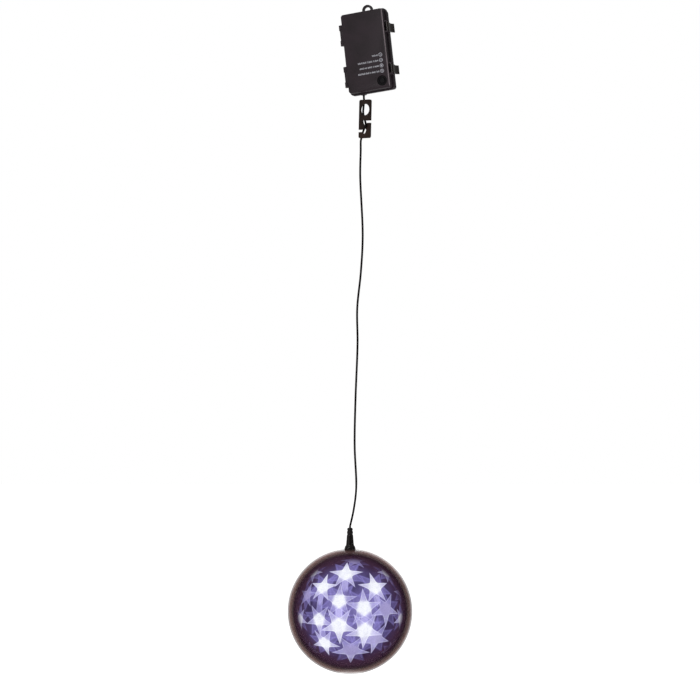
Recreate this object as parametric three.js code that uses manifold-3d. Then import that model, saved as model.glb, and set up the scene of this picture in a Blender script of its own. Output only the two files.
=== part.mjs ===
// A hanging star-ball light. A battery case hangs from a moulded loop, a thin round cable runs down from it
// through a flat cord hook, and a smoked clear ball hangs on the cable's moulded boot. Inside the ball a dome of
// embossed film surrounds a cluster of lamps, and each lamp shows through the film as a five-pointed star.
// Millimetres, +Z up. The origin is the ball's lowest point, on the ball's own axis.
import * as THREE from "three";
import { mergeVertices } from "three/addons/utils/BufferGeometryUtils.js";
import Module from "manifold-3d";

const wasm = await Module();
wasm.setup();

// ---------------------------------------------------------------- driving dimensions
const BALL_R = 75;
const SHELL_WALL = 1.8;
const FILM_R = 68.6;
const FILM_WALL = 0.6;
const SEAM_LIP = 1.5; // how far the two shells lap at the equator
const NECK_R = 8.5; // hole at the top of the upper shell
const HUB_R = 13;
const ROUND = 32; // sides of the ball

const CASE = { width: 53, height: 96, depth: 26, wall: 2, corner: 3.2, frontRound: 1.5, rearRound: 2.6 };
const RIM = { proud: 1.6, thick: 2, gap: 0.25 }; // sealing flange; gap is kept on each side of the parting plane
const HINGE = { z: 25.5, x: -31.3, knuckleR: 2.9, barrelR: 2.2, pinR: 1.1, boreR: 1.4, length: 25 };
const LATCH = { z: 25.5, x: 29.7, y: -8.5, width: 10.5, pinR: 0.9, boreR: 1.2 };
const LOOP = { x: 2, y: 7.5, outerR: 6.7, innerR: 3.85, leg: 4.2, thick: 2.6 };
const BUTTON = { x: 17.2, z: -39, holeR: 6.2, capR: 5.9, domeR: 3.3, collarR: 6.8 };
const EXIT = new THREE.Vector3(-14.2, 6.6, -CASE.height / 2); // where the cable leaves, in the case's own frame
const BOARD = { width: 42, height: 20.4, thick: 1.6, y: 1.5, z: -34 };
const CELL = { r: 7.1, length: 50.5, pitch: 14.9, y: 3.6, nubR: 2.6, nub: 1.3 };
const SPRING = { length: 4.5, wire: 0.35, wideR: 3.9, narrowR: 2.6, turns: 3 };

const CABLE_R = 1.25;
const CABLE_TOP = new THREE.Vector3(16.7, 0, 698.2); // the cable's exit from the case
const CASE_TURN = { yaw: -20, roll: -7.3, pitch: -2 }; // how the hanging case has turned, in degrees
const HOOK = { width: 17.2, height: 46.3, thick: 2.5, holeR: 6.9, holeZ: 11.2, yaw: -38, lean: 1.3, slot: 2.9 };
const HOOK_CENTRE = new THREE.Vector3(18.2, -5, 668);
const BOOT_TOP = 25.8; // above the top of the ball
const GAP = 0.3; // working clearance between separate pieces

// ---------------------------------------------------------------- materials
const plastic = (color, roughness) => new THREE.MeshStandardMaterial({ color, roughness, metalness: 0 });
const metal = (color, roughness) => new THREE.MeshStandardMaterial({ color, roughness, metalness: 1 });
const clear = (color, opacity) =>
  new THREE.MeshStandardMaterial({ color, roughness: 0.08, metalness: 0, transparent: true, opacity });
const MATERIALS = {
  caseBlack: plastic(0x2b262b, 0.5),
  latchBlack: plastic(0x211d20, 0.45),
  hookBlack: plastic(0x37302e, 0.55),
  rubber: plastic(0x141214, 0.7),
  cable: plastic(0x1d1a1a, 0.55),
  smoke: clear(0x6b5a60, 0.3),
  film: clear(0x3a2450, 0.6),
  frost: clear(0xd8d4e0, 0.5),
  board: plastic(0x1d5c36, 0.5),
  chip: plastic(0x151515, 0.5),
  steel: metal(0xb8b8bc, 0.3),
  brass: metal(0xc0a060, 0.35),
  cellWrap: plastic(0x2f3d52, 0.35),
  white: plastic(0xdedee2, 0.5),
  lamp: new THREE.MeshStandardMaterial({ color: 0xf2f4ff, roughness: 0.1, emissive: 0xdfe4ff }),
};

// ---------------------------------------------------------------- solids
function solidOf(geometry) {
  const bare = geometry.index ? geometry.toNonIndexed() : geometry.clone();
  bare.deleteAttribute("normal");
  bare.deleteAttribute("uv");
  const merged = mergeVertices(bare, 1e-4);
  return new wasm.Manifold(
    new wasm.Mesh({
      numProp: 3,
      vertProperties: merged.attributes.position.array,
      triVerts: new Uint32Array(merged.index.array),
    }),
  );
}

function geometryOf(solid) {
  const mesh = solid.getMesh();
  const geometry = new THREE.BufferGeometry();
  geometry.setAttribute("position", new THREE.BufferAttribute(mesh.vertProperties, 3));
  geometry.setIndex(new THREE.BufferAttribute(mesh.triVerts, 1));
  return geometry;
}

const join = (...parts) => geometryOf(parts.map(solidOf).reduce((whole, next) => whole.add(next)));
const cut = (body, ...tools) => geometryOf(tools.map(solidOf).reduce((left, tool) => left.subtract(tool), solidOf(body)));

// A box between two corners, each [x, y, z].
function block(low, high) {
  const size = high.map((v, i) => v - low[i]);
  return new THREE.BoxGeometry(...size).translate(...high.map((v, i) => (v + low[i]) / 2));
}

// A round rod from one level to another along "x", "y" or "z", on an axis through the point at.
function rod(radius, along, from, to, at, sides = 16) {
  const bar = new THREE.CylinderGeometry(radius, radius, to - from, sides);
  if (along === "z") bar.rotateX(Math.PI / 2);
  if (along === "x") bar.rotateZ(Math.PI / 2);
  const middle = { x: 0, y: 0, z: 0, ...at };
  middle[along] = (from + to) / 2;
  return bar.translate(middle.x, middle.y, middle.z);
}

// A body turned about Z from a profile of [radius, height] points that runs upwards outside.
function turned(profile, sides = 16) {
  const points = profile.map(([r, z]) => new THREE.Vector2(r, z));
  return new THREE.LatheGeometry(points, sides).rotateX(Math.PI / 2);
}

// A rounded rectangle centred on the origin.
function roundedRectangle(width, height, radius) {
  const [x, y] = [width / 2, height / 2];
  return new THREE.Shape()
    .moveTo(radius - x, -y)
    .lineTo(x - radius, -y)
    .absarc(x - radius, radius - y, radius, -Math.PI / 2, 0)
    .lineTo(x, y - radius)
    .absarc(x - radius, y - radius, radius, 0, Math.PI / 2)
    .lineTo(radius - x, y)
    .absarc(radius - x, y - radius, radius, Math.PI / 2, Math.PI)
    .lineTo(-x, radius - y)
    .absarc(radius - x, radius - y, radius, Math.PI, Math.PI * 1.5);
}

// A shape drawn in X and Z, extruded between two levels of Y.
function slab(shape, front, rear, curveSegments = 5) {
  const options = { depth: rear - front, bevelEnabled: false, curveSegments };
  return new THREE.ExtrudeGeometry(shape, options).rotateX(Math.PI / 2).translate(0, rear, 0);
}

// A round bar of one radius along a curve.
function swept(curve, radius, steps, sides = 8) {
  const ring = new THREE.Shape();
  for (let i = 0; i < sides; i++) {
    const turn = (i / sides) * 2 * Math.PI;
    ring[i ? "lineTo" : "moveTo"](radius * Math.cos(turn), radius * Math.sin(turn));
  }
  ring.closePath();
  return new THREE.ExtrudeGeometry(ring, { extrudePath: curve, steps, bevelEnabled: false });
}

function piece(name, geometry, material) {
  const mesh = new THREE.Mesh(geometry, material);
  mesh.name = name;
  return mesh;
}

// The rounded box of the case between two levels of Y. Its edges are rounded at the end that lies at +-half.
function shellBlock(from, to, round) {
  const options = { bevelEnabled: true, bevelThickness: round, bevelSize: round, bevelSegments: 3, curveSegments: 5 };
  const body = new THREE.ExtrudeGeometry(inset(round), { ...options, depth: CASE.depth - 2 * round });
  body.rotateX(Math.PI / 2).translate(0, half - round, 0);
  const wide = CASE.height;
  return cut(body, block([-wide, -wide, -wide], [wide, from, wide]), block([-wide, to, -wide], [wide, wide, wide]));
}

const inset = (r) => roundedRectangle(CASE.width - 2 * r, CASE.height - 2 * r, CASE.corner - r);
const MIRRORED = [1, -1]; // upper and lower, for what the case has twice
const half = CASE.depth / 2;

// ---------------------------------------------------------------- battery case: rear housing
// The rear housing holds the cells, the control board, the hanging loop, the cable exit and the end knuckles
// of the two hinges.
function rearHousing() {
  const rimFront = RIM.gap;
  const rimRear = RIM.gap + RIM.thick;
  const shell = shellBlock(rimFront, CASE.depth, CASE.rearRound);
  const flange = slab(inset(-RIM.proud), rimFront, rimRear);
  const cavity = slab(inset(CASE.wall + 0.2), -1, half - CASE.wall);
  const groove = cut(slab(inset(0.6), -1, rimFront + 1.4), slab(inset(1.7), -2, half));
  const notches = MIRRORED.map((side) =>
    block([CASE.width / 2 + 0.3, 0, side * LATCH.z - 6.3], [CASE.width / 2 + 4, rimRear + 1, side * LATCH.z + 6.3]),
  );
  const cableHole = rod(3, "z", EXIT.z - 1, EXIT.z + CASE.wall + 1, { x: EXIT.x, y: EXIT.y });
  const open = cut(join(shell, flange), cavity, groove, ...notches, cableHole);
  const seat = BOARD.y + BOARD.thick + 0.1;
  const posts = POSTS.map((at) => rod(2.2, "y", seat, half - 1, at, 12));
  const pilots = POSTS.map((at) => rod(1.1, "y", seat - 1, seat + 5, at, 12));
  const solids = [open, hangingLoop(), divider(), ...cradles(), ...posts, ...MIRRORED.map(catchRidge)];
  const knuckles = MIRRORED.flatMap((side) => [1, -1].map((end) => endKnuckle(side, end)));
  return cut(join(...solids, ...knuckles), ...MIRRORED.map(hingeBore), ...pilots);
}

function hangingLoop() {
  const foot = CASE.height / 2 - 1;
  const crown = CASE.height / 2 + LOOP.leg;
  const arch = new THREE.Shape()
    .moveTo(LOOP.outerR, foot)
    .lineTo(LOOP.outerR, crown)
    .absarc(0, crown, LOOP.outerR, 0, Math.PI)
    .lineTo(-LOOP.outerR, foot)
    .lineTo(-LOOP.innerR, foot)
    .lineTo(-LOOP.innerR, crown)
    .absarc(0, crown, LOOP.innerR, Math.PI, 0, true)
    .lineTo(LOOP.innerR, foot);
  return slab(arch, LOOP.y - LOOP.thick / 2, LOOP.y + LOOP.thick / 2, 8).translate(LOOP.x, 0, 0);
}

const bayTop = CASE.height / 2 - CASE.wall;
const bayBottom = bayTop - CELL.length - SPRING.length - 2.4;

// The wall under the battery bay.
function divider() {
  const reach = CASE.width / 2 - CASE.wall + 0.5;
  return block([-reach, 1.5, bayBottom - 1.6], [reach, half - 1, bayBottom]);
}

// Two low ribs that keep the three cells apart.
function cradles() {
  return MIRRORED.map((side) => {
    const x = (side * CELL.pitch) / 2;
    return block([x - 0.8, CELL.y + 4.6, bayBottom - 0.5], [x + 0.8, half - 1, bayTop + 0.5]);
  });
}

// The ridge on the side wall that a latch's tooth snaps behind.
function catchRidge(side) {
  const wall = CASE.width / 2;
  const outline = new THREE.Shape()
    .moveTo(wall - 0.5, RIM.gap)
    .lineTo(wall + 0.35, RIM.gap)
    .lineTo(wall + 0.65, 1.1)
    .lineTo(wall + 0.35, 1.9)
    .lineTo(wall - 0.5, 1.9);
  const bar = new THREE.ExtrudeGeometry(outline, { depth: LATCH.width, bevelEnabled: false });
  return bar.translate(0, 0, side * LATCH.z - LATCH.width / 2);
}

// end is 1 for the upper knuckle of a hinge and -1 for the lower one.
function endKnuckle(side, end) {
  const outer = (HINGE.length / 2) * end;
  const inner = (HINGE.length / 2 - 6.2) * end;
  const [low, high] = [outer, inner].map((z) => z + side * HINGE.z).sort((a, b) => a - b);
  const drum = rod(HINGE.knuckleR, "z", low, high, { x: HINGE.x, y: 0 }, 24);
  const arm = block([HINGE.x, 0.6, low], [-CASE.width / 2 - 1, 3.1, high]);
  return join(drum, arm);
}

function hingeBore(side) {
  const reach = HINGE.length / 2 + 1;
  const middle = side * HINGE.z;
  return rod(HINGE.boreR, "z", middle - reach, middle + reach, { x: HINGE.x, y: 0 });
}

function hingePin(side) {
  const reach = HINGE.length / 2 - 0.4;
  const middle = side * HINGE.z;
  return rod(HINGE.pinR, "z", middle - reach, middle + reach, { x: HINGE.x, y: 0 }, 12);
}

const gasket = () => cut(slab(inset(0.75), -0.1, RIM.gap + 1.2), slab(inset(1.55), -1, half));

// ---------------------------------------------------------------- battery case: front cover
// The front cover is the door. It carries the soft button and the two latches.
function frontCover() {
  const rimRear = -RIM.gap;
  const shell = shellBlock(-CASE.depth, rimRear, CASE.frontRound);
  const flange = slab(inset(-RIM.proud), rimRear - RIM.thick, rimRear);
  const cavity = slab(inset(CASE.wall), CASE.wall - half, 1);
  const buttonHole = rod(BUTTON.holeR, "y", -half - 1, CASE.wall - half + 1, BUTTON, 24);
  const open = cut(join(shell, flange), cavity, buttonHole);
  const ears = MIRRORED.flatMap((side) => [1, -1].map((end) => latchEar(side, end)));
  const whole = join(open, ...MIRRORED.map(middleBarrel), ...ears);
  return cut(whole, ...MIRRORED.map(hingeBore), ...MIRRORED.map(latchBore));
}

const POSTS = [
  { x: -18, z: -27 },
  { x: 8, z: -43 },
];

function middleBarrel(side) {
  const reach = HINGE.length / 2 - 6.2 - GAP;
  const [low, high] = [side * HINGE.z - reach, side * HINGE.z + reach];
  const drum = rod(HINGE.barrelR, "z", low, high, { x: HINGE.x, y: 0 }, 24);
  const arm = block([HINGE.x, -2.1, low], [-CASE.width / 2 - 1, -0.5, high]);
  return join(drum, arm);
}

function latchEar(side, end) {
  const near = LATCH.width / 2 + 0.35;
  const [low, high] = [near * end, (near + 1.6) * end].map((z) => z + side * LATCH.z).sort((a, b) => a - b);
  const cheek = block([CASE.width / 2 - 1, LATCH.y - 2.1, low], [LATCH.x, LATCH.y + 2.1, high]);
  return join(cheek, rod(2.1, "z", low, high, LATCH, 20));
}

function latchBore(side) {
  const reach = LATCH.width / 2 + 3;
  return rod(LATCH.boreR, "z", side * LATCH.z - reach, side * LATCH.z + reach, LATCH, 12);
}

// ---------------------------------------------------------------- battery case: latches
// A latch turns on a pin in the cover's ears, reaches back over both rims and ends in a flared finger tab.
function latch(side) {
  const over = CASE.width / 2 + RIM.proud + GAP; // clear of the rims
  const profile = new THREE.Shape()
    .moveTo(over, LATCH.y - 1.6)
    .absarc(LATCH.x, LATCH.y, 1.9, -Math.PI * 0.6, 0)
    .lineTo(over + 2.2, 1)
    .lineTo(over + 1.9, 4.2)
    .lineTo(over + 4.3, 9.6)
    .lineTo(over + 3.2, 10.4)
    .lineTo(over, 4.9)
    .lineTo(CASE.width / 2 + 0.95, 4.3)
    .lineTo(CASE.width / 2 + 0.95, 3.2)
    .lineTo(over, 2.7);
  const bar = new THREE.ExtrudeGeometry(profile, { depth: LATCH.width, bevelEnabled: false, curveSegments: 6 });
  bar.translate(0, 0, side * LATCH.z - LATCH.width / 2);
  return cut(bar, latchBore(side));
}

function latchPin(side) {
  const reach = LATCH.width / 2 + 1.8;
  return rod(LATCH.pinR, "z", side * LATCH.z - reach, side * LATCH.z + reach, LATCH, 12);
}

// ---------------------------------------------------------------- battery case: button and board
const innerFace = CASE.wall - half;
const plungerFront = BOARD.y - 4.5;
const STEM_END = plungerFront - 0.1;

// The soft button: a thin disc sunk in the face, a raised dome in its middle and a collar behind the wall.
function buttonCap() {
  const sunk = 0.9; // how far the disc lies below the case's face
  const outline = [
    [0, -STEM_END],
    [2.4, -STEM_END],
    [2.4, -innerFace - 1.1],
    [BUTTON.collarR, -innerFace - 1.1],
    [BUTTON.collarR, -innerFace - GAP],
    [BUTTON.capR, -innerFace - GAP],
    [BUTTON.capR, half - sunk],
    [BUTTON.domeR + 0.6, half - sunk],
    [BUTTON.domeR, half - 0.3],
    [BUTTON.domeR * 0.6, half + 0.2],
    [0, half + 0.35],
  ];
  return turned(outline, 24).rotateX(Math.PI / 2).translate(BUTTON.x, 0, BUTTON.z);
}

const switchFront = plungerFront + 0.9;
const switchPlunger = () => rod(1.6, "y", plungerFront, plungerFront + 2, BUTTON, 12);

function tactSwitch() {
  const { x, z } = BUTTON;
  const body = block([x - 3, switchFront, z - 3], [x + 3, BOARD.y - 0.05, z + 3]);
  return cut(body, rod(1.9, "y", switchFront - 1, plungerFront + 2.9, BUTTON, 12));
}

function controlBoard() {
  const [w, h] = [BOARD.width / 2, BOARD.height / 2];
  const plate = block([-w, BOARD.y, BOARD.z - h], [w, BOARD.y + BOARD.thick, BOARD.z + h]);
  return cut(plate, ...POSTS.map((at) => rod(1.2, "y", BOARD.y - 1, BOARD.y + BOARD.thick + 1, at, 12)));
}

function boardScrew(at) {
  const head = BOARD.y - 0.1;
  const shank = rod(0.85, "y", head - 0.4, BOARD.y + BOARD.thick + 4, at, 12);
  return join(shank, rod(2, "y", head - 1.3, head, at, 12));
}

const timerChip = () => block([-11, BOARD.y - 2.1, -36], [-3, BOARD.y - 0.05, -31]);
const timerCrystal = () => rod(1.4, "x", 0, 7, { y: BOARD.y - 1.7, z: -29 }, 12);
const capacitor = () => rod(2.4, "y", BOARD.y - 5.2, BOARD.y - 0.1, { x: 3, z: -40 }, 14);

// ---------------------------------------------------------------- battery case: cells and contacts
// The cells stand side by side, the middle one head down. up is 1 where the cell's nub points up.
const cellUp = (index) => (index === 1 ? -1 : 1);
const cellX = (index) => (index - 1) * CELL.pitch;
const endGap = (bayTop - bayBottom - CELL.length) / 2;
const cellShift = SPRING.length + 0.15 - endGap;

function cell(index) {
  const bottom = -CELL.length / 2;
  const shoulder = CELL.length / 2 - CELL.nub;
  const outline = [
    [0, bottom],
    [CELL.r - 0.6, bottom],
    [CELL.r, bottom + 0.6],
    [CELL.r, shoulder - 0.7],
    [CELL.r - 0.7, shoulder],
    [CELL.nubR, shoulder],
    [CELL.nubR, CELL.length / 2],
    [0, CELL.length / 2],
  ];
  const body = turned(outline, 20);
  if (cellUp(index) < 0) body.rotateX(Math.PI);
  return body.translate(cellX(index), CELL.y, (bayTop + bayBottom) / 2 + cellUp(index) * cellShift);
}

// A tapered coil between the bay's end wall and the cell's flat end.
function contactSpring(index) {
  const coil = new THREE.Curve();
  coil.getPoint = (t) => {
    const radius = THREE.MathUtils.lerp(SPRING.wideR, SPRING.narrowR, t);
    const turn = t * SPRING.turns * 2 * Math.PI;
    const height = 0.5 + t * (SPRING.length - 1);
    return new THREE.Vector3(radius * Math.cos(turn), radius * Math.sin(turn), height);
  };
  const body = swept(coil, SPRING.wire, SPRING.turns * 12, 5);
  if (cellUp(index) < 0) body.rotateX(Math.PI);
  return body.translate(cellX(index), CELL.y, cellUp(index) > 0 ? bayBottom : bayTop);
}

// The flat contact that meets the cell's nub.
function contactPlate(index) {
  const x = cellX(index);
  const [low, high] = cellUp(index) > 0 ? [bayTop - 0.7, bayTop - 0.2] : [bayBottom + 0.2, bayBottom + 0.7];
  return block([x - 4.5, CELL.y - 3.5, low], [x + 4.5, CELL.y + 4, high]);
}

// ---------------------------------------------------------------- cable, grommet and cord hook
function cableGrommet() {
  const outline = [
    [1.6, -1.1],
    [3.3, -1.1],
    [3.9, -GAP],
    [2.7, -GAP],
    [2.7, CASE.wall + GAP],
    [3.9, CASE.wall + GAP],
    [3.9, CASE.wall + 1.4],
    [1.6, CASE.wall + 1.4],
    [1.6, -1.1],
  ];
  return turned(outline, 16).translate(EXIT.x, EXIT.y, EXIT.z);
}

// The end of the cable inside the case, knotted so that it can't pull out. It ends just below the grommet,
// where the next stretch begins with a ball end.
const TAIL = 1.2;
function cableTail() {
  const knot = turned([[0, 5.4], [2.6, 5.9], [3.1, 7.6], [2.6, 9.4], [0, 9.9]], 12);
  const tail = rod(CABLE_R, "z", -TAIL, 13, {}, 12);
  return join(tail, knot).translate(EXIT.x, EXIT.y, EXIT.z);
}

const hookTurn = new THREE.Quaternion().setFromEuler(
  new THREE.Euler(0, THREE.MathUtils.degToRad(HOOK.lean), THREE.MathUtils.degToRad(HOOK.yaw)),
);

// How the cable weaves through the hook, in the hook's own frame: down behind the plate, forward through the
// upper slot, over the bridge, back through the lower slot and down behind the plate again.
const behind = HOOK.thick / 2 + CABLE_R + GAP;
const WEAVE = [
  [-4.6, behind, 24.2],
  [-4.9, behind, 16],
  [-5.3, behind, 8],
  [0.2, 0, -3],
  [3.4, -behind, -7.8],
  [-2, 0, -13.8],
  [-6.4, behind, -20],
  [-8, behind, -25.5],
].map((at) => new THREE.Vector3(...at));
const weaveCurve = new THREE.CatmullRomCurve3(WEAVE, false, "centripetal");

// The flat cord hook: a round eye and, below it, a slot from each edge that runs into a slanting hole.
function cordHook() {
  const plate = slab(roundedRectangle(HOOK.width, HOOK.height, 2.2), -HOOK.thick / 2, HOOK.thick / 2, 3);
  const through = HOOK.thick;
  const eye = rod(HOOK.holeR, "y", -through, through, { z: HOOK.holeZ }, 28);
  const edge = HOOK.width / 2 + 1;
  const slots = [
    block([0.8, -through, -3.5 - HOOK.slot / 2], [edge, through, -3.5 + HOOK.slot / 2]),
    block([-edge, -through, -14.3 - HOOK.slot / 2], [-1.5, through, -14.3 + HOOK.slot / 2]),
  ];
  const slants = [slantedHole(-0.9, -3.9, -24), slantedHole(0, -14.9, 32)];
  return cut(plate, eye, ...slots, ...slants, swept(weaveCurve, CABLE_R + GAP, 60, 10));
}

// An oval hole through the plate, leaning by a number of degrees.
function slantedHole(x, z, lean) {
  const oval = new THREE.Shape().absellipse(0, 0, 2.2, 3.7, 0, 2 * Math.PI);
  return slab(oval, -HOOK.thick, HOOK.thick, 8).rotateY(THREE.MathUtils.degToRad(lean)).translate(x, 0, z);
}

const hookPoint = (local) => local.clone().applyQuaternion(hookTurn).add(HOOK_CENTRE);

const ballEnd = (at) => new THREE.SphereGeometry(CABLE_R, 12, 8).rotateX(Math.PI / 2).translate(at.x, at.y, at.z);

function cableUpper() {
  const end = hookPoint(WEAVE[0]);
  end.z += GAP;
  const start = CABLE_TOP.clone().setZ(CABLE_TOP.z - TAIL - GAP - CABLE_R);
  return join(swept(new THREE.LineCurve3(start, end), CABLE_R, 2, 12), ballEnd(start));
}

// The long hanging stretch, which keeps a few soft kinks from being folded in its box: [x, z] on the way down.
const KINKS = [
  [12.9, 630],
  [12.3, 600],
  [15.3, 528],
  [13.1, 484],
  [8.7, 440],
  [9.1, 398],
  [6.6, 330],
  [5.6, 275],
  [7.5, 224],
  [4.5, 198],
];

function cableLower() {
  const start = hookPoint(WEAVE[WEAVE.length - 1]);
  const way = KINKS.map(([x, z]) => new THREE.Vector3(x, 0, z));
  way[0].y = start.y / 2;
  way.unshift(start.clone().setZ(start.z - 2 * GAP));
  const end = new THREE.Vector3(0, 0, 2 * BALL_R + BOOT_TOP + GAP + CABLE_R);
  way.push(end);
  return join(swept(new THREE.CatmullRomCurve3(way, false, "centripetal"), CABLE_R, 48, 8), ballEnd(end));
}

// The moulded boot at the cable's lower end: two grip rings, a tapered sleeve, a bead and a plug. Height is
// counted from the top of the ball.
function cableBoot() {
  return turned(
    [
      [0, -9],
      [2.6, -9],
      [2.6, -5],
      [4.8, -4],
      [6.3, -1.9],
      [6.6, 0.3],
      [6.3, 2.6],
      [4.9, 4.5],
      [4.5, 7.5],
      [3.8, 16.4],
      [3.3, 17.6],
      [3.3, 18.6],
      [3.6, 19.3],
      [3.6, 21.3],
      [3, 21.9],
      [3, 22.6],
      [3.4, 23.1],
      [3.2, 24.9],
      [2.4, BOOT_TOP],
      [0, BOOT_TOP],
    ],
    20,
  ).translate(0, 0, 2 * BALL_R);
}

// ---------------------------------------------------------------- ball
// Points of a circle round the ball's centre, from one height to another.
function arc(radius, fromZ, toZ, steps) {
  const [start, end] = [fromZ, toZ].map((z) => Math.asin(z / radius));
  return Array.from({ length: steps + 1 }, (_, i) => {
    const angle = THREE.MathUtils.lerp(start, end, i / steps);
    return [radius * Math.cos(angle), radius * Math.sin(angle)];
  });
}

const innerR = BALL_R - SHELL_WALL;
const lipR = BALL_R - SHELL_WALL / 2;
const onCircle = (radius, r) => Math.sqrt(radius * radius - r * r);

// The upper shell: a hemisphere with a neck hole, rebated inside its lower edge.
function shellUpper() {
  const outline = [
    ...arc(BALL_R, 0.1, onCircle(BALL_R, NECK_R), 9),
    ...arc(innerR, onCircle(innerR, NECK_R), SEAM_LIP + 0.2, 9),
    [lipR + 0.05, SEAM_LIP + 0.2],
    [lipR + 0.05, 0.1],
  ];
  return turned([...outline, outline[0]], ROUND);
}

// The lower shell: a closed hemisphere whose thin inner lip stands up into the upper shell.
function shellLower() {
  const outline = [
    ...arc(BALL_R, -BALL_R, 0, 9),
    [lipR - 0.15, 0],
    [lipR - 0.15, SEAM_LIP],
    [innerR, SEAM_LIP],
    ...arc(innerR, 0, -innerR, 9),
  ];
  return turned(outline, ROUND);
}

// A film dome, up or down. It is open at its pole by the radius of a hole.
function filmDome(side, hole) {
  const film = FILM_R - FILM_WALL;
  const outline = [
    ...arc(FILM_R, 0.3, onCircle(FILM_R, hole), 9),
    ...arc(film, onCircle(film, hole), 0.3, 9),
  ];
  const dome = turned([...outline, outline[0]], ROUND);
  return side > 0 ? dome : dome.rotateX(Math.PI);
}

const filmRing = () =>
  turned([[FILM_R + 0.4, -1.2], [innerR - 0.5, -1.2], [innerR - 0.5, 1.2], [FILM_R + 0.4, 1.2], [FILM_R + 0.4, -1.2]], ROUND);

// The collar at the top: a shallow cone outside, and a cup that holds the boot's bead.
function neckCollar() {
  return turned(
    [
      [3.2, 67],
      [8, 67],
      [8, onCircle(BALL_R, 8) + 0.2],
      [11.5, onCircle(BALL_R, 11.5) + 0.2],
      [11.5, 74.8],
      [8.6, 75.9],
      [7.2, 76],
      [7.2, 70.6],
      [5.6, 68.4],
      [3.2, 68.4],
      [3.2, 67],
    ],
    24,
  );
}

// The tube that carries the lamps. Its wider mouth takes the boot's plug.
const lampStem = () =>
  turned(
    [[1.9, HUB_R + 0.4], [3.4, HUB_R + 0.4], [3.6, 40], [4.2, 66.6], [3, 66.6], [3, 63], [1.9, 62], [1.9, HUB_R + 0.4]],
    16,
  );

const lampLead = () => rod(1.3, "z", HUB_R + 0.8, 61, {}, 8);
const lampHub = () => new THREE.SphereGeometry(HUB_R, 16, 10).rotateX(Math.PI / 2);

// The lamps point from the hub towards the twelve corners of an icosahedron.
function lampDirections() {
  const long = (1 + Math.sqrt(5)) / 2;
  const corners = MIRRORED.flatMap((a) => MIRRORED.map((b) => [a, b * long]));
  return corners
    .flatMap(([a, b]) => [
      [0, a, b],
      [a, b, 0],
      [b, 0, a],
    ])
    .map((v) => new THREE.Vector3(...v).normalize());
}

function lamp(direction) {
  const outline = [[0, 0], [2.9, 0], [2.9, 1], [2.5, 1], [2.5, 5.6], [1.8, 7.3], [0, 8]];
  const body = turned(outline, 10).translate(0, 0, HUB_R + GAP);
  return body.applyQuaternion(new THREE.Quaternion().setFromUnitVectors(new THREE.Vector3(0, 0, 1), direction));
}

// ---------------------------------------------------------------- assembly
const M = MATERIALS;
const word = (side) => (side > 0 ? "upper" : "lower");

function buildCase() {
  const group = new THREE.Group();
  group.add(
    piece("rear_housing", rearHousing(), M.caseBlack),
    piece("front_cover", frontCover(), M.caseBlack),
    piece("gasket", gasket(), M.rubber),
    piece("button_cap", buttonCap(), M.rubber),
    piece("switch_plunger", switchPlunger(), M.chip),
    piece("tact_switch", tactSwitch(), M.steel),
    piece("control_board", controlBoard(), M.board),
    piece("timer_chip", timerChip(), M.chip),
    piece("timer_crystal", timerCrystal(), M.steel),
    piece("capacitor", capacitor(), M.chip),
    piece("cable_grommet", cableGrommet(), M.rubber),
    piece("cable_tail", cableTail(), M.cable),
  );
  POSTS.forEach((at, i) => group.add(piece("board_screw_" + (i + 1), boardScrew(at), M.steel)));
  for (const side of MIRRORED) {
    group.add(
      piece("hinge_pin_" + word(side), hingePin(side), M.steel),
      piece("latch_" + word(side), latch(side), M.latchBlack),
      piece("latch_pin_" + word(side), latchPin(side), M.steel),
    );
  }
  for (let i = 0; i < 3; i++) {
    group.add(
      piece("cell_" + (i + 1), cell(i), M.cellWrap),
      piece("contact_spring_" + (i + 1), contactSpring(i), M.steel),
      piece("contact_plate_" + (i + 1), contactPlate(i), M.brass),
    );
  }
  const { yaw, roll, pitch } = CASE_TURN;
  const degrees = [pitch, roll, yaw].map(THREE.MathUtils.degToRad);
  group.rotation.set(...degrees, "ZYX");
  group.position.copy(CABLE_TOP).sub(EXIT.clone().applyEuler(group.rotation));
  return group;
}

function buildCable() {
  const group = new THREE.Group();
  const hook = new THREE.Group();
  hook.add(
    piece("cord_hook", cordHook(), M.hookBlack),
    piece("cable_weave", swept(weaveCurve, CABLE_R, 44, 8), M.cable),
  );
  hook.quaternion.copy(hookTurn);
  hook.position.copy(HOOK_CENTRE);
  group.add(
    hook,
    piece("cable_upper", cableUpper(), M.cable),
    piece("cable_lower", cableLower(), M.cable),
    piece("cable_boot", cableBoot(), M.rubber),
  );
  return group;
}

function buildBall() {
  const group = new THREE.Group();
  group.position.z = BALL_R;
  group.add(
    piece("shell_upper", shellUpper(), M.smoke),
    piece("shell_lower", shellLower(), M.smoke),
    piece("neck_collar", neckCollar(), M.smoke),
    piece("film_ring", filmRing(), M.frost),
    piece("film_upper", filmDome(1, 9.5), M.film),
    piece("film_lower", filmDome(-1, 3), M.film),
    piece("lamp_stem", lampStem(), M.white),
    piece("lamp_lead", lampLead(), M.cable),
    piece("lamp_hub", lampHub(), M.white),
  );
  lampDirections().forEach((direction, i) => {
    group.add(piece("led_" + String(i + 1).padStart(2, "0"), lamp(direction), M.lamp));
  });
  return group;
}

const light = new THREE.Group();
light.add(buildCase(), buildCable(), buildBall());
export default light;
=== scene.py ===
"""The visual model of the hanging star-ball light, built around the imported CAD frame.

Outlines and sizes are written in millimetres and become metres where they are multiplied by MM.
The node materials and the studio are in metres.
"""

import math

import bmesh
import bpy
import numpy as np
from mathutils import Euler, Matrix, Vector


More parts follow.
